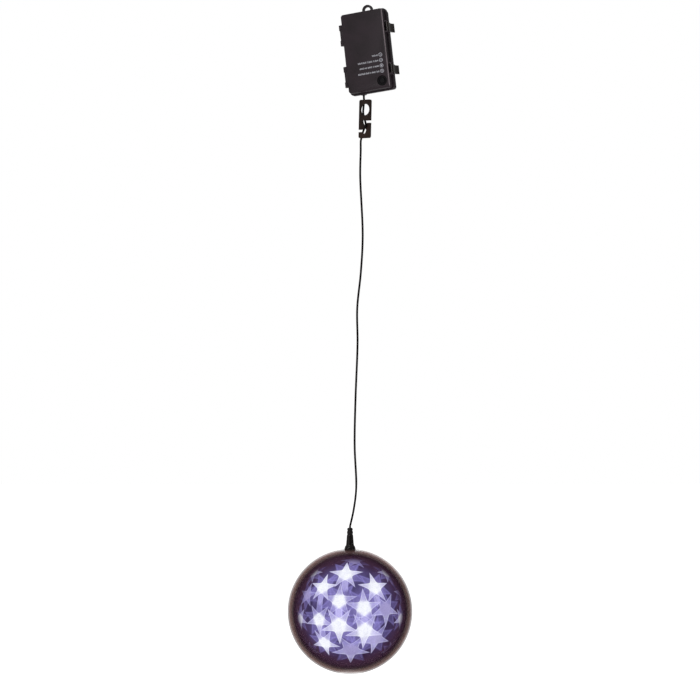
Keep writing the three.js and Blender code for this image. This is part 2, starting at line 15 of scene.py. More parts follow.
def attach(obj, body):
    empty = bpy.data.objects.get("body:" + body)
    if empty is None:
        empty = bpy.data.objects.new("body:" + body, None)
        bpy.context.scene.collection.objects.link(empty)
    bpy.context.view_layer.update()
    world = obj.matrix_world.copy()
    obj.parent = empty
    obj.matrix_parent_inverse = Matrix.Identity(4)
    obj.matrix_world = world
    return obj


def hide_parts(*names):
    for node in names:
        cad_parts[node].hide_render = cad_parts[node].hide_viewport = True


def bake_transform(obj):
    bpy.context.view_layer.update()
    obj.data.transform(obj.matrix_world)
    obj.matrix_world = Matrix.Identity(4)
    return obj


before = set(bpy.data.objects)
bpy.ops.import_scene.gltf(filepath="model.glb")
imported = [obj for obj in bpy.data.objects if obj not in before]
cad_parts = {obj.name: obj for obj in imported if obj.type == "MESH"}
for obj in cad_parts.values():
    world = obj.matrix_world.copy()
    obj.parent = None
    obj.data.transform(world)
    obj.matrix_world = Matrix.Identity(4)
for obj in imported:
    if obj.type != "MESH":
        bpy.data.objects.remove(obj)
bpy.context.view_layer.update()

MM = 0.001
BALL_R = 75.0
BALL_CENTRE = Vector((0, 0, BALL_R)) * MM
SHELL_INNER_R = 73.2
FILM_R = 68.6
CABLE_R = 1.25


def shift(x_mm, y_mm, z_mm):
    return Matrix.Translation(Vector((x_mm, y_mm, z_mm)) * MM)


# The battery case hangs turned. CASE_PLACE takes its own frame, front towards -Y and top up, to the part's.
CASE_TURN = Euler([math.radians(a) for a in (-2, -7.3, -20)], "XYZ").to_matrix().to_4x4()
CASE_PLACE = shift(22.497, -7.347, 747.815) @ CASE_TURN
CASE_FRONT_Y = -13.0
CASE_AXIS = CASE_TURN.to_3x3() @ Vector((0, 0, 1))

# HOOK_PLACE does the same for the cord hook.
HOOK_TURN = Matrix.Rotation(math.radians(1.3), 4, "Y") @ Matrix.Rotation(math.radians(-38), 4, "Z")
HOOK_PLACE = shift(18.2, -5, 668) @ HOOK_TURN


RAMP_SOCKETS = ("From Min", "From Max", "To Min", "To Max")


# ---------------------------------------------------------------- node materials
class Look:
    """A Principled material built node by node. Patterns use object coordinates, in metres."""

    def __init__(self, name):
        self.material = bpy.data.materials.new(name)
        self.material.use_nodes = True
        self.tree = self.material.node_tree
        self.bsdf = self.tree.nodes["Principled BSDF"]
        self.place = self.add("ShaderNodeTexCoord").outputs["Object"]

    def add(self, kind, **settings):
        node = self.tree.nodes.new(kind)
        for key, value in settings.items():
            setattr(node, key, value)
        return node

    def feed(self, socket, value):
        if isinstance(value, bpy.types.NodeSocket):
            self.tree.links.new(value, socket)
        elif isinstance(value, (tuple, list)) and len(value) == 3 and socket.type == "RGBA":
            socket.default_value = (*value, 1)
        else:
            socket.default_value = value

    def noise(self, scale, detail=3.0, stretch=None, rough=0.5):
        node = self.add("ShaderNodeTexNoise")
        node.inputs["Scale"].default_value = scale
        node.inputs["Detail"].default_value = detail
        node.inputs["Roughness"].default_value = rough
        place = self.place
        if stretch:
            mapping = self.add("ShaderNodeMapping")
            self.feed(mapping.inputs["Vector"], place)
            mapping.inputs["Scale"].default_value = stretch
            place = mapping.outputs["Vector"]
        self.feed(node.inputs["Vector"], place)
        return node.outputs["Fac"]

    def ramp(self, value, low, high, out_low=0.0, out_high=1.0):
        """A smooth step from out_low to out_high as the value goes from low to high."""
        node = self.add("ShaderNodeMapRange", interpolation_type="SMOOTHSTEP")
        self.feed(node.inputs["Value"], value)
        for key, number in zip(RAMP_SOCKETS, (low, high, out_low, out_high)):
            node.inputs[key].default_value = number
        return node.outputs["Result"]

    def mix(self, factor, first, second):
        node = self.add("ShaderNodeMix", data_type="RGBA")
        self.feed(node.inputs[0], factor)
        self.feed(node.inputs[6], first)
        self.feed(node.inputs[7], second)
        return node.outputs[2]

    def mix_number(self, factor, first, second):
        node = self.add("ShaderNodeMix", data_type="FLOAT")
        for socket, value in zip((0, 2, 3), (factor, first, second)):
            self.feed(node.inputs[socket], value)
        return node.outputs[0]

    def maths(self, operation, first, second=0.0, clamp=False):
        node = self.add("ShaderNodeMath", operation=operation, use_clamp=clamp)
        self.feed(node.inputs[0], first)
        self.feed(node.inputs[1], second)
        return node.outputs["Value"]

    def dot(self, direction, offset=0.0):
        """The height of a point along a direction, in metres."""
        node = self.add("ShaderNodeVectorMath", operation="DOT_PRODUCT")
        self.feed(node.inputs[0], self.place)
        node.inputs[1].default_value = direction
        return self.maths("ADD", node.outputs["Value"], offset)

    def from_axis(self):
        """The distance of a point from the ball's upright axis, in metres."""
        flat = self.add("ShaderNodeVectorMath", operation="MULTIPLY")
        self.feed(flat.inputs[0], self.place)
        flat.inputs[1].default_value = (1, 1, 0)
        node = self.add("ShaderNodeVectorMath", operation="LENGTH")
        self.feed(node.inputs[0], flat.outputs["Vector"])
        return node.outputs["Value"]

    def facing(self):
        """0 where the surface faces the viewer and 1 where it is seen edge on."""
        node = self.add("ShaderNodeLayerWeight")
        node.inputs["Blend"].default_value = 0.5
        return node.outputs["Facing"]

    def flat_xz(self, vector):
        """A vector's x and z as the x and y of a flat pattern."""
        split = self.add("ShaderNodeSeparateXYZ")
        self.feed(split.inputs[0], vector)
        joined = self.add("ShaderNodeCombineXYZ")
        self.feed(joined.inputs[0], split.outputs[0])
        self.feed(joined.inputs[1], split.outputs[2])
        return joined.outputs[0]

    def bump(self, height, strength, depth_mm):
        node = self.add("ShaderNodeBump")
        node.inputs["Strength"].default_value = strength
        node.inputs["Distance"].default_value = depth_mm * MM
        self.feed(node.inputs["Height"], height)
        self.feed(self.bsdf.inputs["Normal"], node.outputs["Normal"])

    def set(self, **inputs):
        for key, value in inputs.items():
            self.feed(self.bsdf.inputs[key.replace("_", " ")], value)
        return self


# Painted highlight: the pale colour laid on the cover's front edge beside the latches.
EDGE_HIGHLIGHT = (0.30, 0.25, 0.27)


def moulded(
    name, tone, deep, rough=0.45, grain_mm=0.35, depth_mm=0.03, spec=0.5, patch_mm=28, wear=None, edge_light=None
):
    """Moulded plastic or rubber: a fine spark-eroded grain, slow tone changes and faint scuffs.

    wear is the scuffs' colour. The function given last marks the places where a pale highlight is painted
    into the colour.
    """
    look = Look(name)
    patch = look.noise(1 / (patch_mm * MM), 4)
    colour = look.mix(look.ramp(patch, 0.3, 0.7), deep, tone)
    scuff = look.ramp(look.noise(90, 8, (1.0, 1.0, 5.0), 0.65), 0.6, 0.75)
    worn = wear or tuple(min(1, c * 1.8) for c in tone)
    colour = look.mix(look.maths("MULTIPLY", scuff, 0.25), colour, worn)
    # A painted highlight: the marked places are mixed towards a pale colour.
    if edge_light:
        edge_lit = look.maths("MULTIPLY", edge_light(look), look.ramp(patch, 0.2, 0.6, 0.7, 1.0))
        colour = look.mix(edge_lit, colour, EDGE_HIGHLIGHT)
    grain = look.noise(1 / (grain_mm * MM), 2)
    fine = look.noise(2.6 / (grain_mm * MM), 2)
    height = look.maths("ADD", grain, look.maths("MULTIPLY", fine, 0.5))
    look.bump(height, 0.5, depth_mm)
    satin = look.ramp(patch, 0.25, 0.75, rough - 0.05, rough + 0.06)
    roughness = look.maths("ADD", satin, look.maths("MULTIPLY", scuff, 0.1))
    look.set(Base_Color=colour, Roughness=roughness, Specular_IOR_Level=spec)
    return look.material


def metal(name, tone, deep, rough=0.28):
    """Drawn or plated metal with fine drawing lines and slight tarnish."""
    look = Look(name)
    lines = look.noise(1800, 3, (1, 1, 12))
    tarnish = look.ramp(look.noise(160, 5), 0.45, 0.75)
    look.bump(lines, 0.25, 0.02)
    look.set(
        Base_Color=look.mix(tarnish, tone, deep),
        Metallic=1.0,
        Roughness=look.ramp(lines, 0.2, 0.8, rough - 0.06, rough + 0.1),
    )
    return look.material


def sheath(name, tone, deep):
    """Extruded cable sheath: faint die lines along its run and a soft satin."""
    look = Look(name)
    along = look.noise(2600, 2, (1, 1, 0.03))
    mottle = look.noise(300, 4)
    look.bump(look.maths("ADD", along, look.maths("MULTIPLY", mottle, 0.6)), 0.35, 0.02)
    look.set(
        Specular_IOR_Level=0.06,
        Base_Color=look.mix(look.ramp(mottle, 0.35, 0.65), deep, tone),
        Roughness=look.ramp(mottle, 0.3, 0.7, 0.35, 0.5),
    )
    return look.material


CELL_MIDDLE_Z = 15


def cell_wrap(name, flip):
    """A battery's plain sleeve: a dark body, a copper-toned end band and a thin pale line between them.

    flip puts the band on the lower end.
    """
    look = Look(name)
    middle = (CASE_PLACE @ Vector((0, 0, CELL_MIDDLE_Z * MM))).dot(CASE_AXIS)
    height = look.maths("MULTIPLY", look.dot(CASE_AXIS, -middle), -1.0 if flip else 1.0)
    band = look.ramp(height, 0.0105, 0.0107)
    line = look.maths("MULTIPLY", look.ramp(height, 0.0096, 0.0098), look.ramp(height, 0.0106, 0.0105))
    shade = look.ramp(look.noise(120, 4), 0.3, 0.7)
    body = look.mix(shade, (0.016, 0.03, 0.07), (0.024, 0.042, 0.09))
    copper = look.mix(shade, (0.42, 0.2, 0.08), (0.5, 0.26, 0.12))
    colour = look.mix(line, look.mix(band, body, copper), (0.6, 0.6, 0.62))
    fine = look.noise(1500, 2)
    look.bump(fine, 0.2, 0.01)
    look.set(
        Base_Color=colour,
        Roughness=look.ramp(fine, 0.3, 0.7, 0.24, 0.34),
        Metallic=look.maths("MULTIPLY", band, 0.5),
    )
    return look.material


BOARD_TRACKS = {
    "Scale": 190.0,
    "Mortar Size": 0.07,
    "Mortar Smooth": 0.2,
    "Brick Width": 1.7,
    "Row Height": 0.55,
}


def board_face(name):
    """Green solder mask with raised tracks that show through it a little paler."""
    look = Look(name)
    spin = look.add("ShaderNodeMapping")
    look.feed(spin.inputs["Vector"], look.place)
    spin.inputs["Rotation"].default_value = [-a for a in CASE_TURN.to_euler()]
    cells = look.add("ShaderNodeTexBrick", offset=0.35)
    look.feed(cells.inputs["Vector"], look.flat_xz(spin.outputs["Vector"]))
    for key, value in BOARD_TRACKS.items():
        cells.inputs[key].default_value = value
    track = cells.outputs["Fac"]
    dirt = look.ramp(look.noise(220, 4), 0.3, 0.7)
    mask = look.mix(dirt, (0.008, 0.075, 0.03), (0.012, 0.1, 0.04))
    look.bump(track, 0.4, 0.05)
    look.set(Base_Color=look.mix(track, mask, (0.03, 0.2, 0.07)), Roughness=look.ramp(dirt, 0, 1, 0.26, 0.36))
    return look.material


def smoked(name):
    """The smoked clear shell: almost invisible face on, dark brown at its rim, with painted light making it
    paler and pinkish round the top.
    """
    look = Look(name)
    facing = look.facing()
    edge = look.ramp(facing, 0.36, 0.66)
    ring = look.ramp(facing, 0.58, 0.8)
    dense = look.ramp(facing, 0.5, 0.6, 0.46, 0.64)
    outer = look.ramp(facing, 0.74, 0.86)
    # Painted light: round the top the shell is paler, as if lit from above, and its smoke is thinner.
    top_light_mask = look.ramp(look.dot((0.2, 0, 0.98), -BALL_CENTRE.z * 0.98), 0.04, 0.068)
    streak = look.ramp(look.noise(45, 3, (1, 1, 6)), 0.35, 0.7)
    deep = look.mix(streak, (0.030, 0.013, 0.021), (0.045, 0.021, 0.031))
    # The lighter colour of each pair is the painted light round the top.
    brown = look.mix(top_light_mask, (0.32, 0.18, 0.152), (0.32, 0.19, 0.175))
    rim = look.mix(top_light_mask, (0.27, 0.19, 0.175), (0.52, 0.31, 0.285))
    cover = look.mix_number(outer, look.mix_number(ring, dense, 0.63), look.ramp(top_light_mask, 0, 1, 0.46, 0.4))
    neck = look.ramp(look.from_axis(), 0.009, 0.02, 0.12, 1.0)
    from_seam = look.maths("ABSOLUTE", look.dot((0, 0, 1), -BALL_CENTRE.z))
    seam = look.ramp(from_seam, 0.00005, 0.0002)
    smoke = look.maths("MULTIPLY", edge, cover)
    strength = look.maths("MULTIPLY", smoke, look.maths("MULTIPLY", neck, seam))
    look.set(
        Base_Color=look.mix(outer, look.mix(ring, deep, brown), rim),
        Roughness=look.ramp(streak, 0, 1, 0.12, 0.2),
        Specular_IOR_Level=0.0,
        Alpha=look.maths("ADD", strength, 0.01),
    )
    look.bump(look.noise(140, 2), 0.04, 0.2)
    return look.material


def film(name):
    """The embossed film: dark, with the glow that the lamps throw on it painted in from the mesh's own
    colours, and a dim purple glow painted at its rim.
    """
    look = Look(name)
    glow = look.add("ShaderNodeAttribute", attribute_name="glow")
    rim = look.ramp(look.facing(), 0.22, 0.62)
    emboss = look.noise(520, 2)
    # Patches in which the painted lamp glow fades.
    glow_patches = look.noise(85, 5, (1, 1, 0.35))
    lit = look.mix(look.ramp(glow_patches, 0.35, 0.72, 0.0, 0.5), glow.outputs["Color"], (0, 0, 0))
    colour = look.mix(rim, (0.012, 0.005, 0.026), (0.032, 0.012, 0.018))
    look.bump(emboss, 0.3, 0.04)
    look.set(
        Base_Color=colour,
        Roughness=look.ramp(emboss, 0.3, 0.7, 0.45, 0.62),
        Specular_IOR_Level=0.02,
        # The emission is painted light, not a lamp.
        Emission_Color=look.mix(rim, lit, (0.036, 0.016, 0.040)),
        Emission_Strength=1.0,
        Alpha=look.ramp(emboss, 0.2, 0.8, 0.96, 0.995),
    )
    return look.material


def starlight(name, strength):
    """Light that the film spreads into stars. Its colour and opacity are in the mesh."""
    look = Look(name)
    glow = look.add("ShaderNodeAttribute", attribute_name="glow")
    grain = look.ramp(look.noise(700, 3), 0.25, 0.75, 0.88, 1.06)
    streak = look.ramp(look.noise(160, 3, (1, 1, 0.2)), 0.3, 0.7, 0.86, 1.0)
    side = look.ramp(look.facing(), 0.36, 0.66, 1.0, 0.0)
    streaked = look.maths("MULTIPLY", glow.outputs["Alpha"], streak)
    look.set(
        Base_Color=(0.0, 0.0, 0.0),
        Roughness=0.6,
        Specular_IOR_Level=0.0,
        Emission_Color=glow.outputs["Color"],
        Emission_Strength=look.maths("MULTIPLY", grain, strength),
        Alpha=look.maths("MULTIPLY", streaked, side, clamp=True),
    )
    return look.material


def lens(name):
    """A lamp's milky lens."""
    look = Look(name)
    cloud = look.noise(600, 3)
    look.bump(cloud, 0.1, 0.02)
    look.set(
        Base_Color=look.mix(cloud, (0.75, 0.78, 0.95), (0.9, 0.92, 1.0)),
        Roughness=0.15,
        Emission_Color=(0.72, 0.74, 1.0),
        Emission_Strength=look.ramp(cloud, 0.2, 0.8, 1.6, 2.4),
    )
    return look.material


def frosted(name):
    """The clear plastic ring between the two film domes."""
    look = Look(name)
    cloud = look.noise(300, 3)
    look.bump(cloud, 0.15, 0.03)
    look.set(
        Base_Color=look.mix(cloud, (0.06, 0.035, 0.05), (0.1, 0.06, 0.08)),
        Roughness=look.ramp(cloud, 0.2, 0.8, 0.25, 0.4),
        Specular_IOR_Level=0.15,
        Alpha=0.04,
    )
    return look.material


def printed(name):
    """Pale ink, thin enough that the plastic's grain breaks it up."""
    look = Look(name)
    gaps = look.ramp(look.noise(2200, 3), 0.3, 0.62)
    look.bump(gaps, 0.2, 0.01)
    look.set(Base_Color=look.mix(gaps, (0.3, 0.29, 0.33), (0.66, 0.66, 0.72)), Roughness=0.55)
    return look.material


def painted_edge_highlight(look):
    """The cover's front edge beside the latches, with a pale highlight painted along it."""
    across = CASE_TURN.to_3x3() @ Vector((1, 0, 0))
    out = CASE_TURN.to_3x3() @ Vector((0, -1, 0))
    middle = CASE_PLACE.translation
    right = look.ramp(look.dot(across, -middle.dot(across)), 0.0252, 0.0256)
    front = look.ramp(look.dot(out, -middle.dot(out)), 0.0118, 0.0122)
    return look.maths("MULTIPLY", right, front)


CASE_FINISH = {
    "tone": (0.032, 0.020, 0.027),
    "deep": (0.017, 0.011, 0.014),
    "rough": 0.42,
    "grain_mm": 0.4,
    "spec": 0.22,
    "patch_mm": 34,
    "wear": (0.06, 0.043, 0.05),
}
RUBBER_FINISH = {"grain_mm": 0.25, "depth_mm": 0.02, "spec": 0.15, "wear": (0.02, 0.018, 0.02)}
CASE_PLASTIC = moulded("case_plastic", **CASE_FINISH)
# The cover gets a painted highlight along its front edge beside the latches.
COVER_PLASTIC = moulded("cover_plastic", **CASE_FINISH, edge_light=painted_edge_highlight)
LATCH_PLASTIC = moulded(
    "latch_plastic",
    (0.019, 0.011, 0.008),
    (0.010, 0.006, 0.005),
    0.26,
    grain_mm=0.3,
    depth_mm=0.02,
    spec=0.55,
)
HOOK_PLASTIC = moulded(
    "hook_plastic", (0.040, 0.024, 0.019), (0.020, 0.012, 0.009), 0.5, depth_mm=0.04, spec=0.15, patch_mm=12
)
SOFT_RUBBER = moulded(
    "soft_rubber", (0.008, 0.007, 0.009), (0.004, 0.004, 0.005), 0.55, patch_mm=8, **RUBBER_FINISH
)
BUTTON_RUBBER = moulded(
    "button_rubber", (0.005, 0.004, 0.006), (0.003, 0.002, 0.003), 0.5, patch_mm=5, **RUBBER_FINISH
)
BOOT_RUBBER = moulded(
    "boot_rubber",
    (0.010, 0.006, 0.006),
    (0.004, 0.003, 0.003),
    0.22,
    grain_mm=0.3,
    depth_mm=0.01,
    spec=0.3,
    patch_mm=9,
    wear=(0.018, 0.013, 0.013),
)
CABLE_SHEATH = sheath("cable_sheath", (0.009, 0.006, 0.006), (0.004, 0.003, 0.003))
CHIP_RESIN = moulded(
    "chip_resin", (0.014, 0.014, 0.015), (0.008, 0.008, 0.009), 0.5, grain_mm=0.2, depth_mm=0.01
)
WHITE_PLASTIC = moulded(
    "white_plastic", (0.62, 0.62, 0.65), (0.5, 0.5, 0.53), 0.42, grain_mm=0.3, depth_mm=0.02
)
STEEL = metal("plated_steel", (0.62, 0.62, 0.64), (0.36, 0.35, 0.34))
BRASS = metal("plated_brass", (0.68, 0.52, 0.26), (0.4, 0.28, 0.13), 0.3)
WRAP_UP = cell_wrap("cell_wrap_up", False)
WRAP_DOWN = cell_wrap("cell_wrap_down", True)
BOARD_MASK = board_face("board_mask")
SMOKED_CLEAR = smoked("smoked_clear")
FILM_FOIL = film("film_foil")
STARLIGHT = starlight("starlight", strength=1.12)
FROSTED = frosted("frosted_ring")
LENS = lens("lamp_lens")
INK = printed("pale_ink")


# ---------------------------------------------------------------- mesh helpers
def new_object(name, data):
    thing = bpy.data.objects.new(name, data)
    bpy.context.scene.collection.objects.link(thing)
    return thing


def finish_piece(name, bm, material, body, stands_for=(), smooth_deg=35.0):
    """Turns a bmesh into a piece on a CAD body. Edges sharper than smooth_deg stay crisp."""
    limit = math.radians(smooth_deg)
    for edge in bm.edges:
        edge.smooth = not (edge.is_manifold and edge.calc_face_angle(0.0) > limit)
    for face in bm.faces:
        face.smooth = True
    mesh = bpy.data.meshes.new(name)
    bm.to_mesh(mesh)
    bm.free()
    mesh.materials.append(material)
    piece = new_object(name, mesh)
    if stands_for:
        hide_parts(*stands_for)
    if body:
        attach(piece, body)
    return piece


def smoothed(points, per_span):
    """More points along a Catmull-Rom curve through the given ones."""
    pts = [Vector((*p, 0)) if len(p) == 2 else Vector(p) for p in points]
    pts = [pts[0] * 2 - pts[1], *pts, pts[-1] * 2 - pts[-2]]
    out = []
    for p0, p1, p2, p3 in zip(pts, pts[1:], pts[2:], pts[3:]):
        t0, t1 = 0.0, max((p1 - p0).length, 1e-9) ** 0.5
        t2 = t1 + max((p2 - p1).length, 1e-9) ** 0.5
        t3 = t2 + max((p3 - p2).length, 1e-9) ** 0.5
        for k in range(per_span):
            t = t1 + (t2 - t1) * k / per_span
            a1 = p0 * ((t1 - t) / (t1 - t0)) + p1 * ((t - t0) / (t1 - t0))
            a2 = p1 * ((t2 - t) / (t2 - t1)) + p2 * ((t - t1) / (t2 - t1))
            a3 = p2 * ((t3 - t) / (t3 - t2)) + p3 * ((t - t2) / (t3 - t2))
            b1 = a1 * ((t2 - t) / (t2 - t0)) + a2 * ((t - t0) / (t2 - t0))
            b2 = a2 * ((t3 - t) / (t3 - t1)) + a3 * ((t - t1) / (t3 - t1))
            out.append(b1 * ((t2 - t) / (t2 - t1)) + b2 * ((t - t1) / (t2 - t1)))
    out.append(pts[-2])
    return out


def round_angles(count):
    """The angles of a full circle in equal steps."""
    return [2 * math.pi * k / count for k in range(count)]


def bridge(bm, rings):
    """Skins the gap between each ring of vertices and the next. A ring may be a single vertex."""
    for low, high in zip(rings, rings[1:]):
        count = max(len(low), len(high))
        for i in range(count):
            j = (i + 1) % count
            if len(low) == 1:
                bm.faces.new((low[0], high[j], high[i]))
            elif len(high) == 1:
                bm.faces.new((low[i], low[j], high[0]))
            else:
                bm.faces.new((low[i], low[j], high[j], high[i]))


def lathe(profile_mm, segments, place):
    """A bmesh turned about local Z from (radius, height) points, then put in its place.

    A profile ends on the axis, or closes on itself by ending with its first point.
    """
    bm = bmesh.new()
    closed = all(abs(a - b) < 1e-6 for a, b in zip(profile_mm[0], profile_mm[-1]))
    rings = []
    for r, z in profile_mm[: -1 if closed else None]:
        if r < 1e-6:
            rings.append([bm.verts.new((0, 0, z * MM))])
        else:
            circle = [(r * MM * math.cos(a), r * MM * math.sin(a), z * MM) for a in round_angles(segments)]
            rings.append([bm.verts.new(point) for point in circle])
    bridge(bm, rings + rings[:1] if closed else rings)
    bmesh.ops.recalc_face_normals(bm, faces=bm.faces)
    bm.transform(place)
    return bm


TUBE_DOME = [(math.cos(math.radians(a)), math.sin(math.radians(a))) for a in (20, 45, 70)]


def tube(points_mm, radius_mm, sides):
    """A round bar along points, with domed ends."""
    pts = [Vector(p) for p in points_mm]
    bm = bmesh.new()
    tangents = []
    for i in range(len(pts)):
        a, b = pts[max(i - 1, 0)], pts[min(i + 1, len(pts) - 1)]
        tangents.append((b - a).normalized())
    rings = []

    def add_ring(centre, tangent, normal, radius):
        other = tangent.cross(normal)
        rings.append(
            [
                bm.verts.new((centre + normal * (radius * math.cos(a)) + other * (radius * math.sin(a))) * MM)
                for a in round_angles(sides)
            ]
        )

    normal = tangents[0].orthogonal().normalized()
    for width, rise in reversed(TUBE_DOME):
        add_ring(pts[0] - tangents[0] * (radius_mm * rise), tangents[0], normal, radius_mm * width)
    for point, tangent in zip(pts, tangents):
        normal = (normal - tangent * normal.dot(tangent)).normalized()
        add_ring(point, tangent, normal, radius_mm)
    for width, rise in TUBE_DOME:
        add_ring(pts[-1] + tangents[-1] * (radius_mm * rise), tangents[-1], normal, radius_mm * width)
    bridge(bm, rings)
    bm.faces.new(list(reversed(rings[0])))
    bm.faces.new(rings[-1])
    return bm


WELD_M = 1e-6
SLIVER_M = 2e-6


def drop_slivers(bm):
    """Removes edges and faces without a real size. The sort gives the faces the same order on each run."""
    bmesh.ops.dissolve_degenerate(bm, dist=SLIVER_M, edges=bm.edges)
    bm.verts.index_update()
    count = len(bm.verts)

    def rank(face):
        total = 0.0
        for index in sorted(vert.index for vert in face.verts)[:3]:
            total = total * count + index
        return total + len(face.verts) / count

    bm.faces.sort(key=rank)


FLAT_DEG = 0.6  # faces that meet at less than this are merged
CRISP_DEG = 40  # edges sharper than this are rounded
EDGE_PER_BEVEL = 2.2  # an edge shorter than this many bevels stays as it is


def refined(node, name, material, body, bevel_mm, segments=3):
    """A copy of a CAD node, with flat faces merged and crisp edges rounded, that stands for the node."""
    bm = bmesh.new()
    bm.from_mesh(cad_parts[node].data)
    bmesh.ops.remove_doubles(bm, verts=bm.verts, dist=WELD_M)
    bmesh.ops.dissolve_limit(bm, angle_limit=math.radians(FLAT_DEG), verts=bm.verts, edges=bm.edges)
    if bevel_mm:
        crisp, shortest = math.radians(CRISP_DEG), EDGE_PER_BEVEL * bevel_mm * MM
        sharp = [
            edge
            for edge in bm.edges
            if edge.is_manifold and edge.calc_face_angle(0.0) > crisp and edge.calc_length() > shortest
        ]
        bmesh.ops.bevel(
            bm,
            geom=sharp,
            offset=bevel_mm * MM,
            offset_type="OFFSET",
            segments=segments,
            profile=0.5,
            affect="EDGES",
            clamp_overlap=True,
        )
        drop_slivers(bm)
    finish_piece(name, bm, material, body, (node,))


def joined(parts):
    """One bmesh from several."""
    whole = bmesh.new()
    for part in parts:
        store = bpy.data.meshes.new("part")
        part.to_mesh(store)
        part.free()
        whole.from_mesh(store)
        bpy.data.meshes.remove(store)
    return whole


# ---------------------------------------------------------------- battery case
refined("rear_housing", "housing_shell", CASE_PLASTIC, "case", 0.35)
refined("front_cover", "cover_shell", COVER_PLASTIC, "cover", 0.35)
for side in ("upper", "lower"):
    refined("latch_" + side, "latch_lever_" + side, LATCH_PLASTIC, side + "_latch", 0.3)
refined("gasket", "gasket_seal", SOFT_RUBBER, "case", 0.15, 2)
refined("control_board", "board_plate", BOARD_MASK, "case", 0.0)
refined("timer_chip", "timer_package", CHIP_RESIN, "case", 0.25)
refined("tact_switch", "tact_body", STEEL, "case", 0.2)
refined("cord_hook", "hook_plate", HOOK_PLASTIC, "hook", 0.35)

# These CAD nodes are shown as they are, with a better material.
for nodes, material in (
    (("switch_plunger", "capacitor"), CHIP_RESIN),
    (("timer_crystal", "board_screw_1", "board_screw_2"), STEEL),
    (("contact_plate_1", "contact_plate_2", "contact_plate_3"), BRASS),
    (("cable_grommet",), SOFT_RUBBER),
    (("cable_tail", "lamp_lead"), CABLE_SHEATH),
    (("lamp_stem",), WHITE_PLASTIC),
    (("film_ring",), FROSTED),
):
    for name in nodes:
        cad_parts[name].data.materials.clear()
        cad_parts[name].data.materials.append(material)

PIN_SIDES = 32
PIN_CHAMFER = 0.2
PINS = [
    # name, body, place in the case's frame, half length, radius
    ("hinge_pin", "case", (-31.3, 0, 25.5), 12.1, 1.1),
    ("latch_pin", "cover", (29.7, -8.5, 25.5), 7.05, 0.9),
]
for side, sign in (("upper", 1), ("lower", -1)):
    for kind, body, (x, y, z), reach, r in PINS:
        tip, end = r - PIN_CHAMFER, reach - PIN_CHAMFER
        profile = [(0, -reach), (tip, -reach), (r, -end), (r, end), (tip, reach), (0, reach)]
        pin = lathe(profile, PIN_SIDES, CASE_PLACE @ shift(x, y, sign * z))
        finish_piece(f"{kind}_{side}_rod", pin, STEEL, body, (f"{kind}_{side}",))

# Cells, springs and the soft button, each finer than its CAD solid.
CELL_R = 7.1
CELL_LENGTH = 50.5
CELL_PITCH = 14.9
CELL_Y = 3.6
SPRING_ROOM = 4.5
PLATE_ROOM = 2.4
CELL_GAP = 0.15
BAY_TOP = 46.0
BAY_BOTTOM = BAY_TOP - CELL_LENGTH - SPRING_ROOM - PLATE_ROOM
BAY_MIDDLE = (BAY_TOP + BAY_BOTTOM) / 2
CELL_SHIFT = SPRING_ROOM + CELL_GAP - (BAY_TOP - BAY_BOTTOM - CELL_LENGTH) / 2
r, half = CELL_R, CELL_LENGTH / 2
SLEEVE = [
    (0, -half), (r - 0.9, -half), (r - 0.45, 0.1 - half), (r - 0.1, 0.5 - half), (r, 1.0 - half),
    (r, half - 2.3), (r - 0.15, half - 1.75), (r - 0.8, half - 1.35), (r - 1.6, half - 1.3),
    (3.0, half - 1.3), (2.7, half - 1.2), (2.6, half - 0.9), (2.6, half - 0.25), (2.35, half),
    (0, half),
]
COIL_TURNS = 3
COIL_STEPS = 96
COIL_WIDE, COIL_NARROW = 3.9, 2.6
COIL_LIFT, COIL_HEIGHT = 0.5, 3.5
COIL_WIRE = 0.35
coil = []
for k in range(COIL_STEPS + 1):
    t = k / COIL_STEPS
    radius = COIL_WIDE + (COIL_NARROW - COIL_WIDE) * t
    a = t * COIL_TURNS * 2 * math.pi
    coil.append((radius * math.cos(a), radius * math.sin(a), COIL_LIFT + t * COIL_HEIGHT))

for i in range(3):
    flipped = i == 1
    up = -1 if flipped else 1
    x = (i - 1) * CELL_PITCH
    middle = shift(x, CELL_Y, BAY_MIDDLE + up * CELL_SHIFT)
    turn = Matrix.Rotation(math.pi, 4, "X") if flipped else Matrix.Identity(4)
    sleeve = lathe(SLEEVE, 56, CASE_PLACE @ middle @ turn)
    wrap = WRAP_DOWN if flipped else WRAP_UP
    finish_piece(f"cell_body_{i + 1}", sleeve, wrap, "case", (f"cell_{i + 1}",), 50)
    spring = tube(coil, COIL_WIRE, 10)
    spring.transform(CASE_PLACE @ shift(x, CELL_Y, BAY_TOP if flipped else BAY_BOTTOM) @ turn)
    finish_piece(f"spring_coil_{i + 1}", spring, STEEL, "case", (f"contact_spring_{i + 1}",))

BUTTON_AT = (17.2, 0, -39.0)
# From the plunger's foot inside the cover, by the flange, to the dome and its dimple.
BUTTON_PROFILE = [
    (0, 3.1), (2.4, 3.1), (2.4, 9.9), (6.8, 9.9), (6.8, 10.7), (5.9, 10.7), (5.9, 11.7), (5.75, 12.0),
    (5.45, 12.1), (5.1, 11.95), (4.7, 11.85), (4.3, 11.9), (3.8, 12.15), (3.45, 12.6), (3.1, 12.9),
    (2.4, 13.15), (1.6, 13.2), (1.1, 13.12), (0.6, 13.05), (0, 13.03),
]
button_place = CASE_PLACE @ shift(*BUTTON_AT) @ Matrix.Rotation(math.pi / 2, 4, "X")
button = lathe(BUTTON_PROFILE, 64, button_place)
finish_piece("button_dome", button, BUTTON_RUBBER, "button", ("button_cap",), 40)

# Four printed rows on the cover, each a small ring with a mark in it and runs of plain ticks.
INK_FRONT_Y = CASE_FRONT_Y - 0.05
INK_BACK_Y = CASE_FRONT_Y + 0.02


